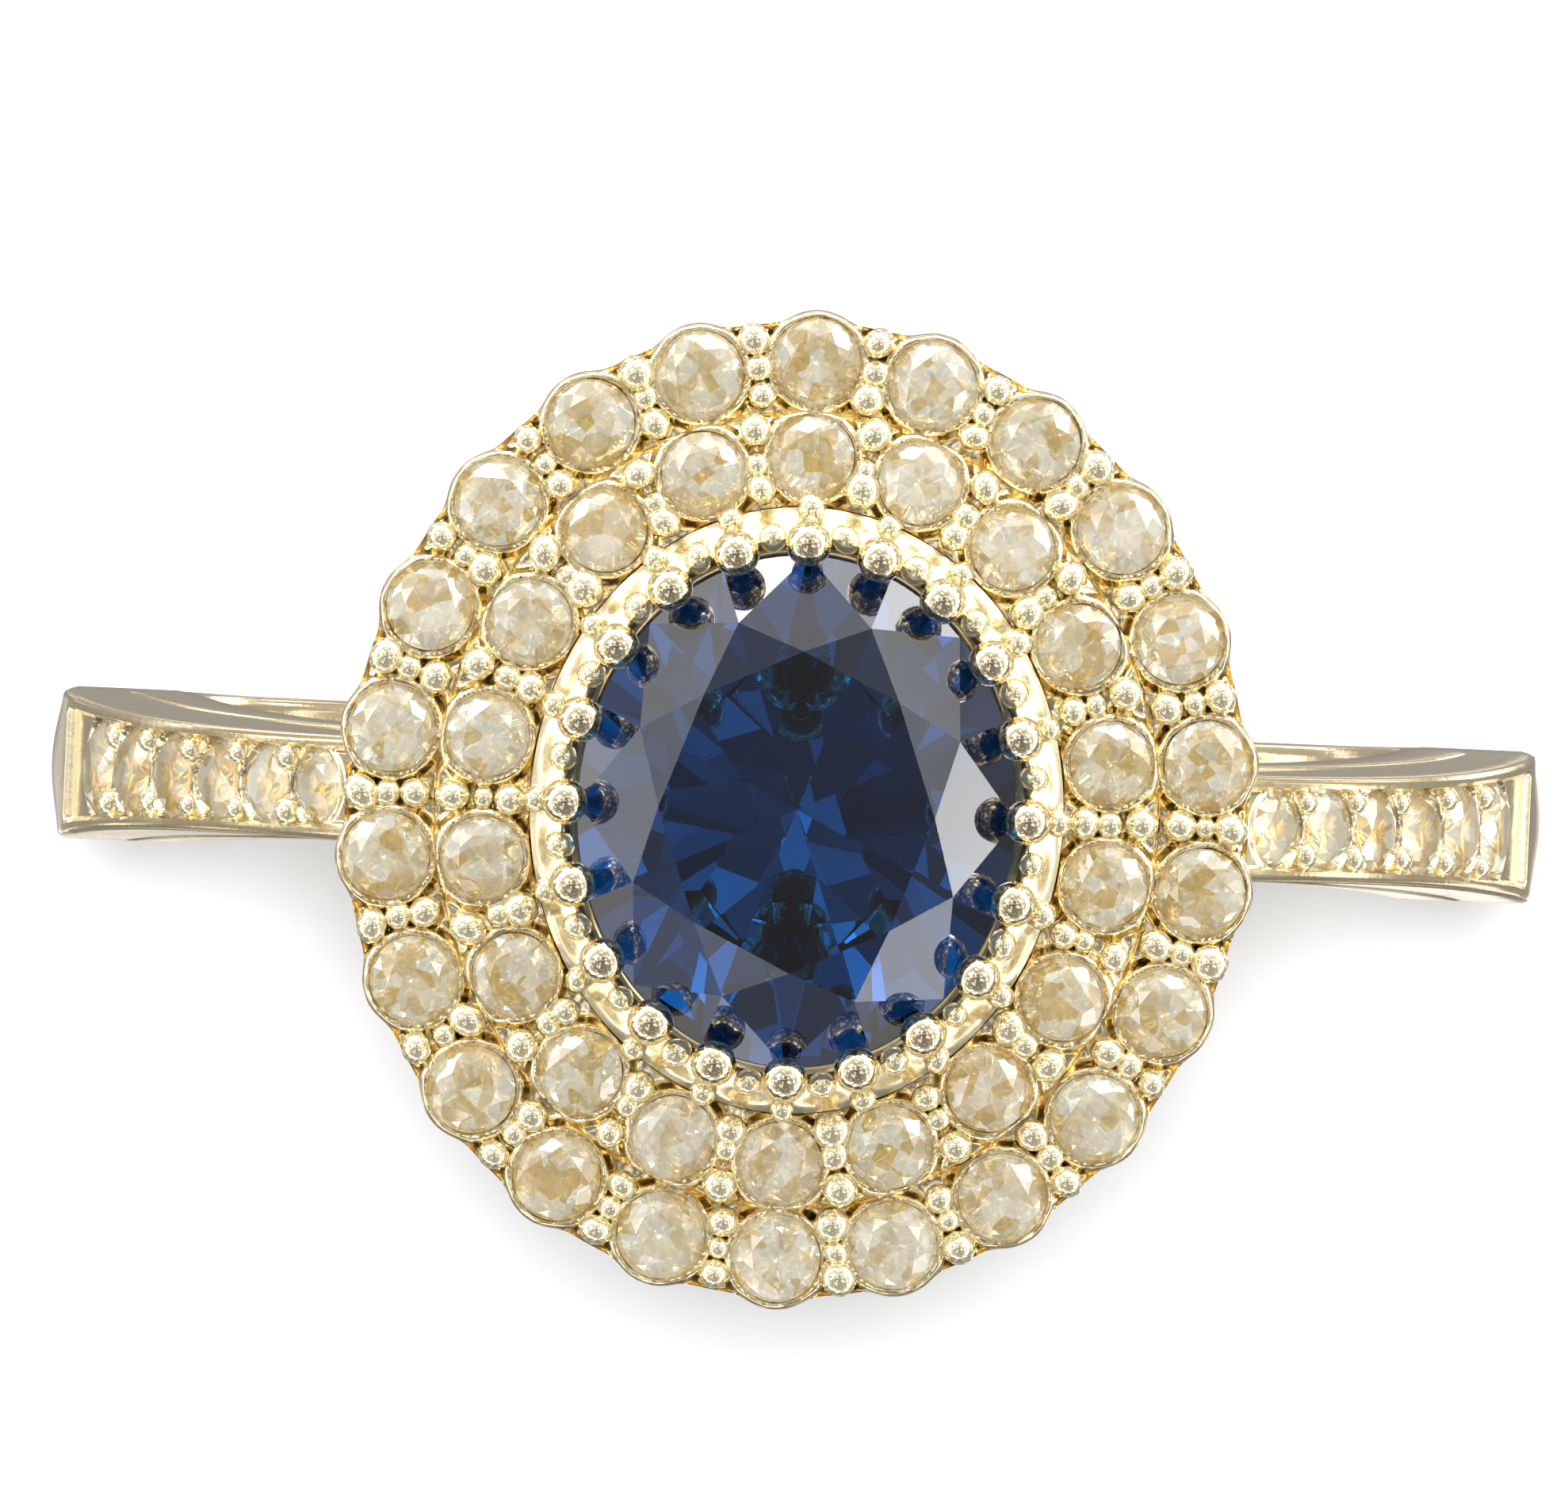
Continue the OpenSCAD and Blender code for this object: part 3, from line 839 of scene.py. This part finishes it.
def add_grain(whole, shape, foot, axis, radius, dice):
    """Adds one hand-raised grain: a slightly uneven ball that is sunk into the metal."""
    size = radius * dice.uniform(*GRAIN_SIZES) * MM
    spin = Matrix.Rotation(dice.uniform(0, math.tau), 4, "Z")
    aim = Vector(axis).to_track_quat("Z", "Y").to_matrix().to_4x4() @ spin
    drift = Vector((dice.uniform(-1, 1), dice.uniform(-1, 1), 0)) * size * GRAIN_DRIFT
    uneven = Vector([dice.uniform(*span) for span in GRAIN_STRETCH]) * size
    place = Matrix.Translation(Vector(foot) * MM + drift) @ aim @ Matrix.Diagonal((*uneven, 1))
    before = len(whole.verts)
    whole.from_mesh(shape)
    whole.verts.ensure_lookup_table()
    bmesh.ops.transform(whole, matrix=place, verts=whole.verts[before:])


class RING_OT_grains(bpy.types.Operator):
    """Raise the grains that hold the stones of the halo and the shoulders"""

    bl_idname = "ring.grains"
    bl_label = "Grains"

    HALO = ("outer_edge_grains", "outer_row_grains", "inner_row_grains", "inner_edge_grains")
    # Small beads that are pushed up midway between neighbouring stones of a row
    BEAD_R = 0.16
    # How far a grain's middle is sunk below the face
    SINK = 0.02
    BEADED = {"outer_row_grains": OUTER_STONES, "inner_row_grains": INNER_STONES}
    # Beads on the collet between the claws, and smaller ones behind the claws, with how much
    # further out than the claws they lie
    COLLET_BEAD_R = 0.17
    COLLET_BEAD_OUT = 1.045
    BACK_BEAD_R = 0.17
    BACK_BEAD_OUT = 1.125

    def execute(self, context):
        dice = random.Random(sizes().seed + 2)
        grain = ball(segments=12, rings=7)
        for node in self.HALO:
            whole = bmesh.new()
            for corners in islands(node):
                low, high = corners.min(0), corners.max(0)
                middle = (low + high) / 2
                radius = (high[0] - low[0]) / 2
                foot = (middle[0], middle[1], low[2] - self.SINK)
                add_grain(whole, grain, foot, (0, 0, 1), radius, dice)
            row = self.BEADED.get(node, [])
            for stone, after in zip(row, row[1:] + row[:1]):
                foot = (stone.girdle + after.girdle) / 2
                add_grain(whole, grain, foot, (0, 0, 1), self.BEAD_R, dice)
            if node == "inner_edge_grains":
                for foot, radius in self.claw_beads():
                    add_grain(whole, grain, foot, (0, 0, 1), radius, dice)
            finish_piece(whole, node + "_raised", gold_finish("gold_grain", rough=0.1, bump=0.1), node)
        for name, side in (("right", 1), ("left", -1)):
            node = f"{name}_shoulder_grains"
            whole = bmesh.new()
            for corners in islands(node):
                middle = (corners.min(0) + corners.max(0)) / 2
                axis = np.array([middle[0] + side * ARM.back, 0, middle[2]])
                axis /= np.linalg.norm(axis)
                reach = corners @ axis
                radius = reach.max() - reach.min()
                foot = middle + axis * (reach.min() - middle @ axis)
                add_grain(whole, grain, foot, axis, radius, dice)
            finish_piece(whole, node + "_raised", gold_finish("gold_grain", rough=0.1, bump=0.1), node)
        bpy.data.meshes.remove(grain)
        return {"FINISHED"}

    def claw_beads(self):
        """Places and sizes of the beads between the claws and behind them."""
        claws = [(corners.min(0) + corners.max(0)) / 2 for corners in islands("claws")]
        claws.sort(key=lambda place: math.atan2(place[1], place[0]))
        collet_z = box_mm("collet_upper_rail")[1][2]
        halo_z = box_mm("halo_inner_tier")[1][2]
        for claw, after in zip(claws, claws[1:] + claws[:1]):
            x, y = ((claw + after) / 2)[:2] * self.COLLET_BEAD_OUT
            yield (x, y, collet_z), self.COLLET_BEAD_R
            x, y = claw[:2] * self.BACK_BEAD_OUT
            yield (x, y, halo_z), self.BACK_BEAD_R


class RING_OT_claws(bpy.types.Operator):
    """Turn the claw wires with their ball tips"""

    bl_idname = "ring.claws"
    bl_label = "Claws"

    STEM = 0.2
    LEAN = 0.06
    SEGMENTS = 24
    # Below the ball's middle: where the wire starts to narrow into the ball, and where it leans in
    NARROWING = 0.6
    ARC_STEPS = 10
    LEANING = 1.2

    def execute(self, context):
        whole = bmesh.new()
        ball = sizes().claw_ball / MM
        for corners in islands("claws"):
            low, high = corners.min(0), corners.max(0)
            foot = corners[corners[:, 2] < low[2] + 0.01]
            middle = (foot.min(0) + foot.max(0)) / 2
            self.turn_claw(whole, middle, high[2] - ball, ball)
        finish_piece(whole, "claws_turned", gold_finish("gold_claw", rough=0.08, bump=0.08), "claws")
        return {"FINISHED"}

    def turn_claw(self, whole, foot, ball_z, ball):
        """Spins a profile of a wire that swells into a ball, then leans the ball in."""
        neck = math.asin(self.STEM / ball)
        sweep = math.pi - neck
        arc = [sweep - sweep * k / self.ARC_STEPS for k in range(self.ARC_STEPS + 1)]
        line = [(0, foot[2]), (self.STEM, foot[2]), (self.STEM, ball_z - self.NARROWING)]
        line += [(ball * math.sin(a), ball_z + ball * math.cos(a)) for a in arc]
        verts = [whole.verts.new((max(r, 0) * MM, 0, z * MM)) for r, z in line]
        edges = [whole.edges.new(pair) for pair in zip(verts, verts[1:])]
        bmesh.ops.spin(
            whole, geom=verts + edges, angle=math.tau, steps=self.SEGMENTS,
            axis=(0, 0, 1), cent=(0, 0, 0), use_merge=True,
        )
        claw = linked(verts)
        out = Vector((foot[0], foot[1], 0)).normalized()
        for vert in claw:
            rise = min(max((vert.co.z / MM - (ball_z - self.LEANING)) / self.LEANING, 0), 1)
            vert.co -= out * (self.LEAN * MM * rise)
        bmesh.ops.translate(whole, verts=claw, vec=(foot[0] * MM, foot[1] * MM, 0))
        bmesh.ops.remove_doubles(whole, verts=claw, dist=1e-7)


# ---- Under the head ----


def rounded_section(width, height, radius, steps=4):
    """Places round a rectangle with rounded corners, centred on the origin, clockwise from its top."""
    places = []
    for x, y, start in ((1, 1, 90), (1, -1, 0), (-1, -1, -90), (-1, 1, 180)):
        for k in range(steps + 1):
            a = math.radians(start - 90 * k / steps)
            places.append((
                x * (width / 2 - radius) + radius * math.cos(a),
                y * (height / 2 - radius) + radius * math.sin(a),
            ))
    return np.array(places)


def hoop(half_x, half_y, width, low_z, high_z, radius=0.08, around=360, saddle=None):
    """An oval hoop with rounded edges. Its foot may follow the round of the band under it."""
    turns = np.linspace(0, math.tau, around, endpoint=False)
    ring = oval_at(half_x - width / 2, half_y - width / 2, turns)
    out = np.stack([np.cos(turns) / half_x, np.sin(turns) / half_y], -1)
    out /= np.linalg.norm(out, axis=-1)[:, None]
    section = rounded_section(width, 1, radius)
    flat = ring[:, None] + out[:, None] * section[None, :, 0, None]
    foot = np.full(flat.shape[:2], low_z)
    if saddle:
        foot = np.sqrt(saddle**2 - np.minimum(np.abs(flat[..., 0]), saddle) ** 2)
    tall = high_z - foot
    # The rounding keeps its size whatever the height of the hoop
    up = section[None, :, 1]
    height = np.where(up > 0, high_z - (0.5 - up), foot + (0.5 + up))
    height = np.where(np.abs(up) < 0.5 - radius - 1e-6, foot + tall / 2, height)
    return sheet(np.concatenate([flat, height[..., None]], -1))


class RING_OT_gallery(bpy.types.Operator):
    """Shape the rails, the skirt and the ribs under the halo"""

    bl_idname = "ring.gallery"
    bl_label = "Gallery"

    RAIL = 0.6
    COLLET = 0.6
    SKIRT = 0.6
    COLLET_AROUND = 800
    COLLET_GAP = 0.04
    # How far the rail swells above its CAD height, and how low it dips at a claw as a share
    COLLET_SWELL = 0.1
    COLLET_DIP = 0.32
    # Below 1 the swells are broad and the dips narrow
    SCALLOP = 0.7
    # The rim's section: places from its inner edge out to the halo, and its height there
    COLLET_SECTION = ((0, 0.12, 0.3, 0.6, 0.85, 1), (0.4, 0.75, 0.85, 0.5, 0.12, 0.0))
    # Ribs: faces that turn by less are one face, edges that turn by more are softened
    FLAT = math.radians(3)
    SHARP = math.radians(30)
    SOFT_R = 0.08

    def execute(self, context):
        gold = gold_finish("gold_gallery", rough=0.2, bump=0.3)
        self.rail("gallery_rail", self.RAIL, gold)
        self.rail("collet_lower_rail", self.COLLET, gold)
        low, high = box_mm("head_base")
        half_x, half_y = half_sizes("head_base")
        band_r = box_mm("shank_band")[1][2]
        work = hoop(half_x, half_y, self.SKIRT, low[2], high[2], saddle=band_r)
        finish_piece(work, "head_base_finished", gold, "head_base")
        self.collet_top(gold)
        self.soften("gallery_ribs", gold)
        return {"FINISHED"}

    def rail(self, node, width, gold):
        low, high = box_mm(node)
        half_x, half_y = half_sizes(node)
        work = hoop(half_x, half_y, width, low[2], high[2])
        finish_piece(work, node + "_finished", gold, node)

    def collet_top(self, gold):
        """The collet's upper rail, swelling between the claws where it is scalloped to seat them."""
        low, high = box_mm("collet_upper_rail")
        half_x, half_y = half_sizes("collet_upper_rail")
        stone_x, stone_y = half_sizes("centre_sapphire")
        turns = np.linspace(0, math.tau, self.COLLET_AROUND, endpoint=False)
        outer = oval_at(half_x, half_y, turns)
        inner = oval_at(stone_x + self.COLLET_GAP, stone_y + self.COLLET_GAP, turns)
        across = np.linspace(0, 1, 17)
        top = inner[:, None] + (outer - inner)[:, None] * across[None, :, None]
        claws = len(islands("claws"))
        between = np.abs(np.sin(turns * claws / 2))[:, None] ** self.SCALLOP
        halo_z = box_mm("halo_inner_tier")[1][2]
        profile = np.interp(across, *self.COLLET_SECTION)
        swell = high[2] + self.COLLET_SWELL - halo_z
        swell = swell * (self.COLLET_DIP + (1 - self.COLLET_DIP) * between)
        face = np.concatenate([top, (halo_z + swell * profile)[..., None]], -1)
        under = level(outer, inner, low[2], 4)
        work = sheet(np.concatenate([face, under], 1))
        finish_piece(work, "collet_upper_rail_finished", gold, "collet_upper_rail")

    def soften(self, node, gold):
        """A copy of a CAD node with its doubles merged and its edges rounded."""
        work = bmesh.new()
        work.from_mesh(frame["nodes"][node].data)
        bmesh.ops.remove_doubles(work, verts=work.verts, dist=1e-7)
        bmesh.ops.dissolve_limit(work, angle_limit=self.FLAT, verts=work.verts, edges=work.edges)
        sharp = [e for e in work.edges if e.is_manifold and e.calc_face_angle() > self.SHARP]
        bmesh.ops.bevel(
            work, geom=sharp, offset=self.SOFT_R * MM, segments=3, profile=0.5, affect="EDGES", material=-1
        )
        finish_piece(work, node + "_finished", gold, node)


# ---- The shank ----


class RING_OT_band(bpy.types.Operator):
    """Shape the band that goes round the finger"""

    bl_idname = "ring.band"
    bl_label = "Band"

    AROUND = 420
    CROWN = 2.6
    # The band's width at its base is measured this far up
    BASE_REACH = 0.5

    def execute(self, context):
        low, high = box_mm("shank_band")
        side_r, base_r, top_r = high[0], -low[2], high[2]
        lift = (side_r**2 - base_r**2) / (2 * base_r)
        crown_r = base_r + lift
        corners = np.array([v.co for v in frame["nodes"]["shank_band"].data.vertices]) / MM
        base_w = 2 * np.abs(corners[corners[:, 2] < low[2] + self.BASE_REACH][:, 1]).max()
        lower = np.linspace(math.pi, math.tau, self.AROUND // 2)
        upper = np.linspace(0, math.pi, self.AROUND // 2)
        section = rounded_section(2, 2, 0.2, 5)
        across = np.linspace(0.8, -0.8, 9)[1:-1]
        outer = np.stack([np.ones_like(across), across], -1)
        loop = np.concatenate(
            [section[:6], outer, section[6:12], [[0.0, -1.0]], section[12:], [[0.0, 1.0]]]
        )
        places = []
        for turn, is_upper in [(a, False) for a in lower] + [(a, True) for a in upper]:
            z_here = math.sin(turn) * BORE_R
            half = float(ARM.half_w(z_here))
            if not is_upper:
                half = ARM.side_w / 2 + (base_w - ARM.side_w) / 2 * min(1, -z_here / base_r)
            places.append(self.ring_at(turn, is_upper, half, loop, top_r, crown_r, lift))
        work = sheet(np.array(places))
        finish_piece(work, "shank_band_finished", gold_finish("gold_band"), "shank_band")
        return {"FINISHED"}

    def ring_at(self, turn, is_upper, half, loop, top_r, crown_r, lift):
        """The band's section at one turn round the finger."""
        spots = []
        for depth, side in loop:
            y = side * half
            if is_upper:
                out_r = top_r
            else:
                drop = self.CROWN - math.sqrt(self.CROWN**2 - y * y)
                reach = math.sqrt(crown_r**2 - (lift * math.cos(turn)) ** 2)
                out_r = lift * math.sin(turn) + reach - drop
            r = BORE_R + (out_r - BORE_R) * (depth + 1) / 2
            spots.append((r * math.cos(turn), y, r * math.sin(turn)))
        return spots


class RING_OT_shoulders(bpy.types.Operator):
    """Shape both shoulder arms, with their rails, channels and seats"""

    bl_idname = "ring.shoulders"
    bl_label = "Shoulders"

    ALONG = 420
    ACROSS = 48
    # A stone's seat: distances out from the stone's edge, and the heights of the metal there
    SEAT = ((-0.8, -0.01, 0, 0.03, 0.07, 0.12), (-0.8, -0.2, -0.18, -0.09, -0.09, -0.13))

    def execute(self, context):
        for name, side in (("right", 1), ("left", -1)):
            points = self.arm_places()
            points[..., 0] *= side
            work = sheet(points, close_u=False)
            finish_piece(work, f"{name}_shoulder_set", gold_finish("gold_shoulder"), f"{name}_shoulder")
        return {"FINISHED"}

    def arm_places(self):
        band_r = box_mm("shank_band")[1][2]
        edge = sizes().edge_round / MM
        share = np.linspace(0, 1, self.ALONG)[:, None]
        # Round the section: out across the face, in down one side, back under, out up the other
        face = np.linspace(-1, 1, self.ACROSS)[None, :]
        last = math.asin(ARM.top_z / ARM.out_r)
        turn = share * last
        half = ARM.half_w(ARM.out_r * np.sin(turn))
        y = face * half
        rise = self.face_height(turn, y, half)
        rise = rise - round_over(half - np.abs(y), edge) - self.crown_drop(turn, y)
        outer = self.spot(turn + 0 * y, ARM.out_r + rise, y)
        inner_r = self.inner_radius(turn, band_r)
        wall = []
        brow_r = ARM.out_r - edge - self.crown_drop(turn, half)
        for k in range(1, 6):
            radius = brow_r + (inner_r - brow_r) * k / 5
            wall.append(self.spot(turn * self.stretch(radius, last), radius, half))
        wall = np.concatenate(wall, 1)
        under = []
        for t in np.linspace(1, -1, 8)[1:-1]:
            under.append(self.spot(turn * self.stretch(inner_r, last), inner_r, half * t))
        under = np.concatenate(under, 1)
        other = wall[:, ::-1] * np.array([1, -1, 1])
        return np.concatenate([outer, wall, under, other], 1)

    @staticmethod
    def crown_drop(turn, y):
        """How far the band's rounded crown, which the arm's foot takes over, lies below its middle."""
        share = np.clip(1 - turn / ARM.CHANNEL_FOOT, 0, 1)
        crown = RING_OT_band.CROWN
        return (crown - np.sqrt(crown**2 - y * y)) * share * share * (3 - 2 * share)

    def face_height(self, turn, y, half):
        """Height of the outer face: rails along its edges, a channel between them, and seats."""
        inside = half - ARM.RAIL - np.abs(y)
        floor = np.interp(inside, [-0.03, 0.03], [0, -ARM.CHANNEL])
        foot = np.interp(turn, [ARM.CHANNEL_FOOT - 0.002, ARM.CHANNEL_FOOT + 0.002], [0, 1])
        height = floor * foot
        nearest = np.full(y.shape, FAR)
        for stone in ARM_STONES:
            along = (turn - ARM.turn_of(stone)) * ARM.out_r
            nearest = np.minimum(nearest, np.sqrt(along**2 + y**2) - stone.diameter / 2)
        deep = np.interp(nearest, *self.SEAT)
        seat = np.where(nearest < self.SEAT[0][-1], deep, height)
        return np.where(inside > -0.03, np.where(nearest < 0, deep, np.maximum(seat, height)), height)

    @staticmethod
    def spot(turn, radius, y):
        shape = np.broadcast_shapes(np.shape(turn), np.shape(radius), np.shape(y))
        x = radius * np.cos(turn) - ARM.back
        z = radius * np.sin(turn)
        return np.stack([np.broadcast_to(part, shape) for part in (x, y, z)], -1)

    @staticmethod
    def inner_radius(turn, band_r):
        """Where the arm ends inwards: on the band, or at its own wall where it leaves the band."""
        reach = band_r**2 - (ARM.back * np.sin(turn)) ** 2
        on_band = ARM.back * np.cos(turn) + np.sqrt(np.maximum(reach, 0)) - 0.02
        return np.maximum(ARM.in_r, np.where(reach > 0, on_band, 0))

    @staticmethod
    def stretch(radius, last):
        """How much further an inner line turns, so that the arm's end is level under the halo."""
        return np.arcsin(np.minimum(ARM.top_z / radius, 0.99)) / last


# ---- The studio ----


class RING_OT_stage(bpy.types.Operator):
    """Set up the floor, the light and the camera"""

    bl_idname = "ring.stage"
    bl_label = "Stage"

    FLOOR_HALF = 3.0
    # Width of the view at the head of the ring, and where its middle lies from the ring's
    VIEW_WIDTH = 21.5
    VIEW_RIGHT = -0.174
    VIEW_UP = 0.913
    SENSOR = 36.0
    SKY_SEED = 5.0
    # Brightness of the tent from straight below (0), past the horizon (0.5), to straight above (1)
    SKY_POWER = 7.4
    # Light from the side: how it grows towards +Y, its middle, and its lowest and highest share
    SIDE_SLOPE = 0.6
    SIDE_MIDDLE = 0.75
    SIDE_SPAN = (0.25, 1.05)
    # Soft patches of light: their size, where they start, how sharp and strong they are, and what
    # is left between them
    PATCH_SCALE = 4.2
    PATCH_START = 0.53
    PATCH_EDGE = 9.0
    PATCH_POWER = 2.4
    PATCH_FLOOR = 0.5
    SKY = [
        (0.0, (0.11, 0.105, 0.1)), (0.49, (0.15, 0.145, 0.14)), (0.505, (0.6, 0.6, 0.6)),
        (0.53, (1.0, 1.0, 1.0)), (0.56, (0.9, 0.9, 0.9)), (0.625, (0.5, 0.5, 0.5)),
        (0.725, (0.26, 0.26, 0.265)), (0.81, (0.185, 0.185, 0.19)), (0.9, (0.14, 0.14, 0.145)),
        (0.965, (0.11, 0.11, 0.115)), (0.9925, (0.05, 0.05, 0.055)), (1.0, (0.035, 0.035, 0.04)),
    ]

    def execute(self, context):
        self.floor(context)
        self.sky(context)
        self.key_light(context)
        self.camera(context)
        context.scene.view_settings.view_transform = "Standard"
        return {"FINISHED"}

    def floor(self, context):
        work = bmesh.new()
        bmesh.ops.create_grid(work, x_segments=8, y_segments=8, size=self.FLOOR_HALF)
        bmesh.ops.translate(work, verts=work.verts, vec=(0, 0, CAD_BOX[0].z))
        mesh = as_mesh(work, "studio_floor")
        floor = bpy.data.objects.new("studio_floor", mesh)
        context.scene.collection.objects.link(floor)
        material = bpy.data.materials.new("studio_floor")
        look = Finish(material)
        grain = look.noise(scale=60, detail=2)
        colour = look.mix(grain * 0.1, rgba(colours().floor), (0.5, 0.5, 0.5, 1))
        shader = look.node("ShaderNodeBsdfPrincipled", {}, {"Base Color": colour, "Roughness": 0.9})
        look.node("ShaderNodeOutputMaterial", {}, {"Surface": shader.outputs[0]})
        mesh.materials.append(material)
        # Polished metal mirrors the tent's dim lower half in place of the lit floor
        floor.visible_glossy = False

    def sky(self, context):
        """A studio tent: bright low down, dim overhead and towards -Y, with soft patches of light."""
        world = bpy.data.worlds.new("studio_tent")
        context.scene.world = world
        look = Finish(world)
        place = look.node("ShaderNodeTexCoord")
        parts = look.node("ShaderNodeSeparateXYZ", {}, {0: place.outputs["Generated"]})
        up = look.value(parts, 2)
        north = look.value(parts, 1)
        height = look.node("ShaderNodeValToRGB", {"stops": self.SKY}, {0: up * 0.5 + 0.5})
        patches = look.node(
            "ShaderNodeTexNoise", {"noise_dimensions": "4D"},
            {
                "Vector": place.outputs["Generated"], "Scale": self.PATCH_SCALE,
                "Detail": 1.0, "W": self.SKY_SEED,
            },
        )
        least, most = self.SIDE_SPAN
        side = (north * self.SIDE_SLOPE + self.SIDE_MIDDLE).most(least).least(most)
        windows = (look.value(patches, "Fac") - self.PATCH_START) * self.PATCH_EDGE
        cloud = windows.most(0.0).least(1.0) * self.PATCH_POWER + self.PATCH_FLOOR
        glow = look.node(
            "ShaderNodeBackground", {},
            {"Color": height.outputs[0], "Strength": side * cloud * self.SKY_POWER},
        )
        look.node("ShaderNodeOutputWorld", {}, {"Surface": glow.outputs[0]})

    def key_light(self, context):
        """Lights only what scatters light, chiefly the floor, and is left out of mirror and glass rays:
        its mirror image in polished metal would blind the camera.
        """
        light = bpy.data.lights.new("key_light", "SUN")
        light.energy = 4.6
        light.angle = math.radians(9)
        lamp = bpy.data.objects.new("key_light", light)
        lamp.rotation_euler = (math.radians(-3.5), 0, 0)
        lamp.visible_glossy = False
        lamp.visible_transmission = False
        context.scene.collection.objects.link(lamp)

    def camera(self, context):
        data = bpy.data.cameras.new("camera")
        data.sensor_width = self.SENSOR
        far = sizes().camera_distance
        data.lens = self.SENSOR * far / (self.VIEW_WIDTH * MM)
        data.clip_start = far * 0.1
        data.clip_end = far * 20
        camera = bpy.data.objects.new("camera", data)
        turn = Matrix.Rotation(sizes().camera_turn, 4, "Z")
        tilt = Matrix.Rotation(-sizes().camera_tilt, 4, "X")
        head = Vector((0, 0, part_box("halo_outer_tier")[1].z))
        aim = tilt @ turn
        back = Vector((self.VIEW_RIGHT * MM, self.VIEW_UP * MM, far))
        camera.matrix_world = Matrix.Translation(head) @ aim @ Matrix.Translation(back)
        context.scene.collection.objects.link(camera)
        context.scene.camera = camera


class RING_PT_panel(bpy.types.Panel):
    """Lists the pieces of the ring"""

    bl_idname = "RING_PT_panel"
    bl_label = "Cluster Ring"
    bl_space_type = "VIEW_3D"
    bl_region_type = "UI"
    bl_category = "Ring"

    def draw(self, context):
        layout = self.layout
        for operator in STEPS:
            layout.operator(operator.bl_idname)
        for group in (context.scene.ring_sizes, context.scene.ring_colours):
            for name in group.bl_rna.properties.keys():
                if name not in ("rna_type", "name"):
                    layout.prop(group, name)


STEPS = (
    RING_OT_stage,
    RING_OT_centre_stone,
    RING_OT_halo_stones,
    RING_OT_shoulder_stones,
    RING_OT_outer_tier,
    RING_OT_inner_tier,
    RING_OT_grains,
    RING_OT_claws,
    RING_OT_gallery,
    RING_OT_band,
    RING_OT_shoulders,
)
CLASSES = (RingSizes, RingColours, *STEPS, RING_PT_panel)


def register():
    for cls in CLASSES:
        bpy.utils.register_class(cls)
    bpy.types.Scene.ring_sizes = PointerProperty(type=RingSizes)
    bpy.types.Scene.ring_colours = PointerProperty(type=RingColours)


def unregister():
    del bpy.types.Scene.ring_colours
    del bpy.types.Scene.ring_sizes
    for cls in reversed(CLASSES):
        bpy.utils.unregister_class(cls)


def main():
    register()
    for operator in STEPS:
        family, step = operator.bl_idname.split(".")
        getattr(getattr(bpy.ops, family), step)()


if __name__ == "__main__":
    main()
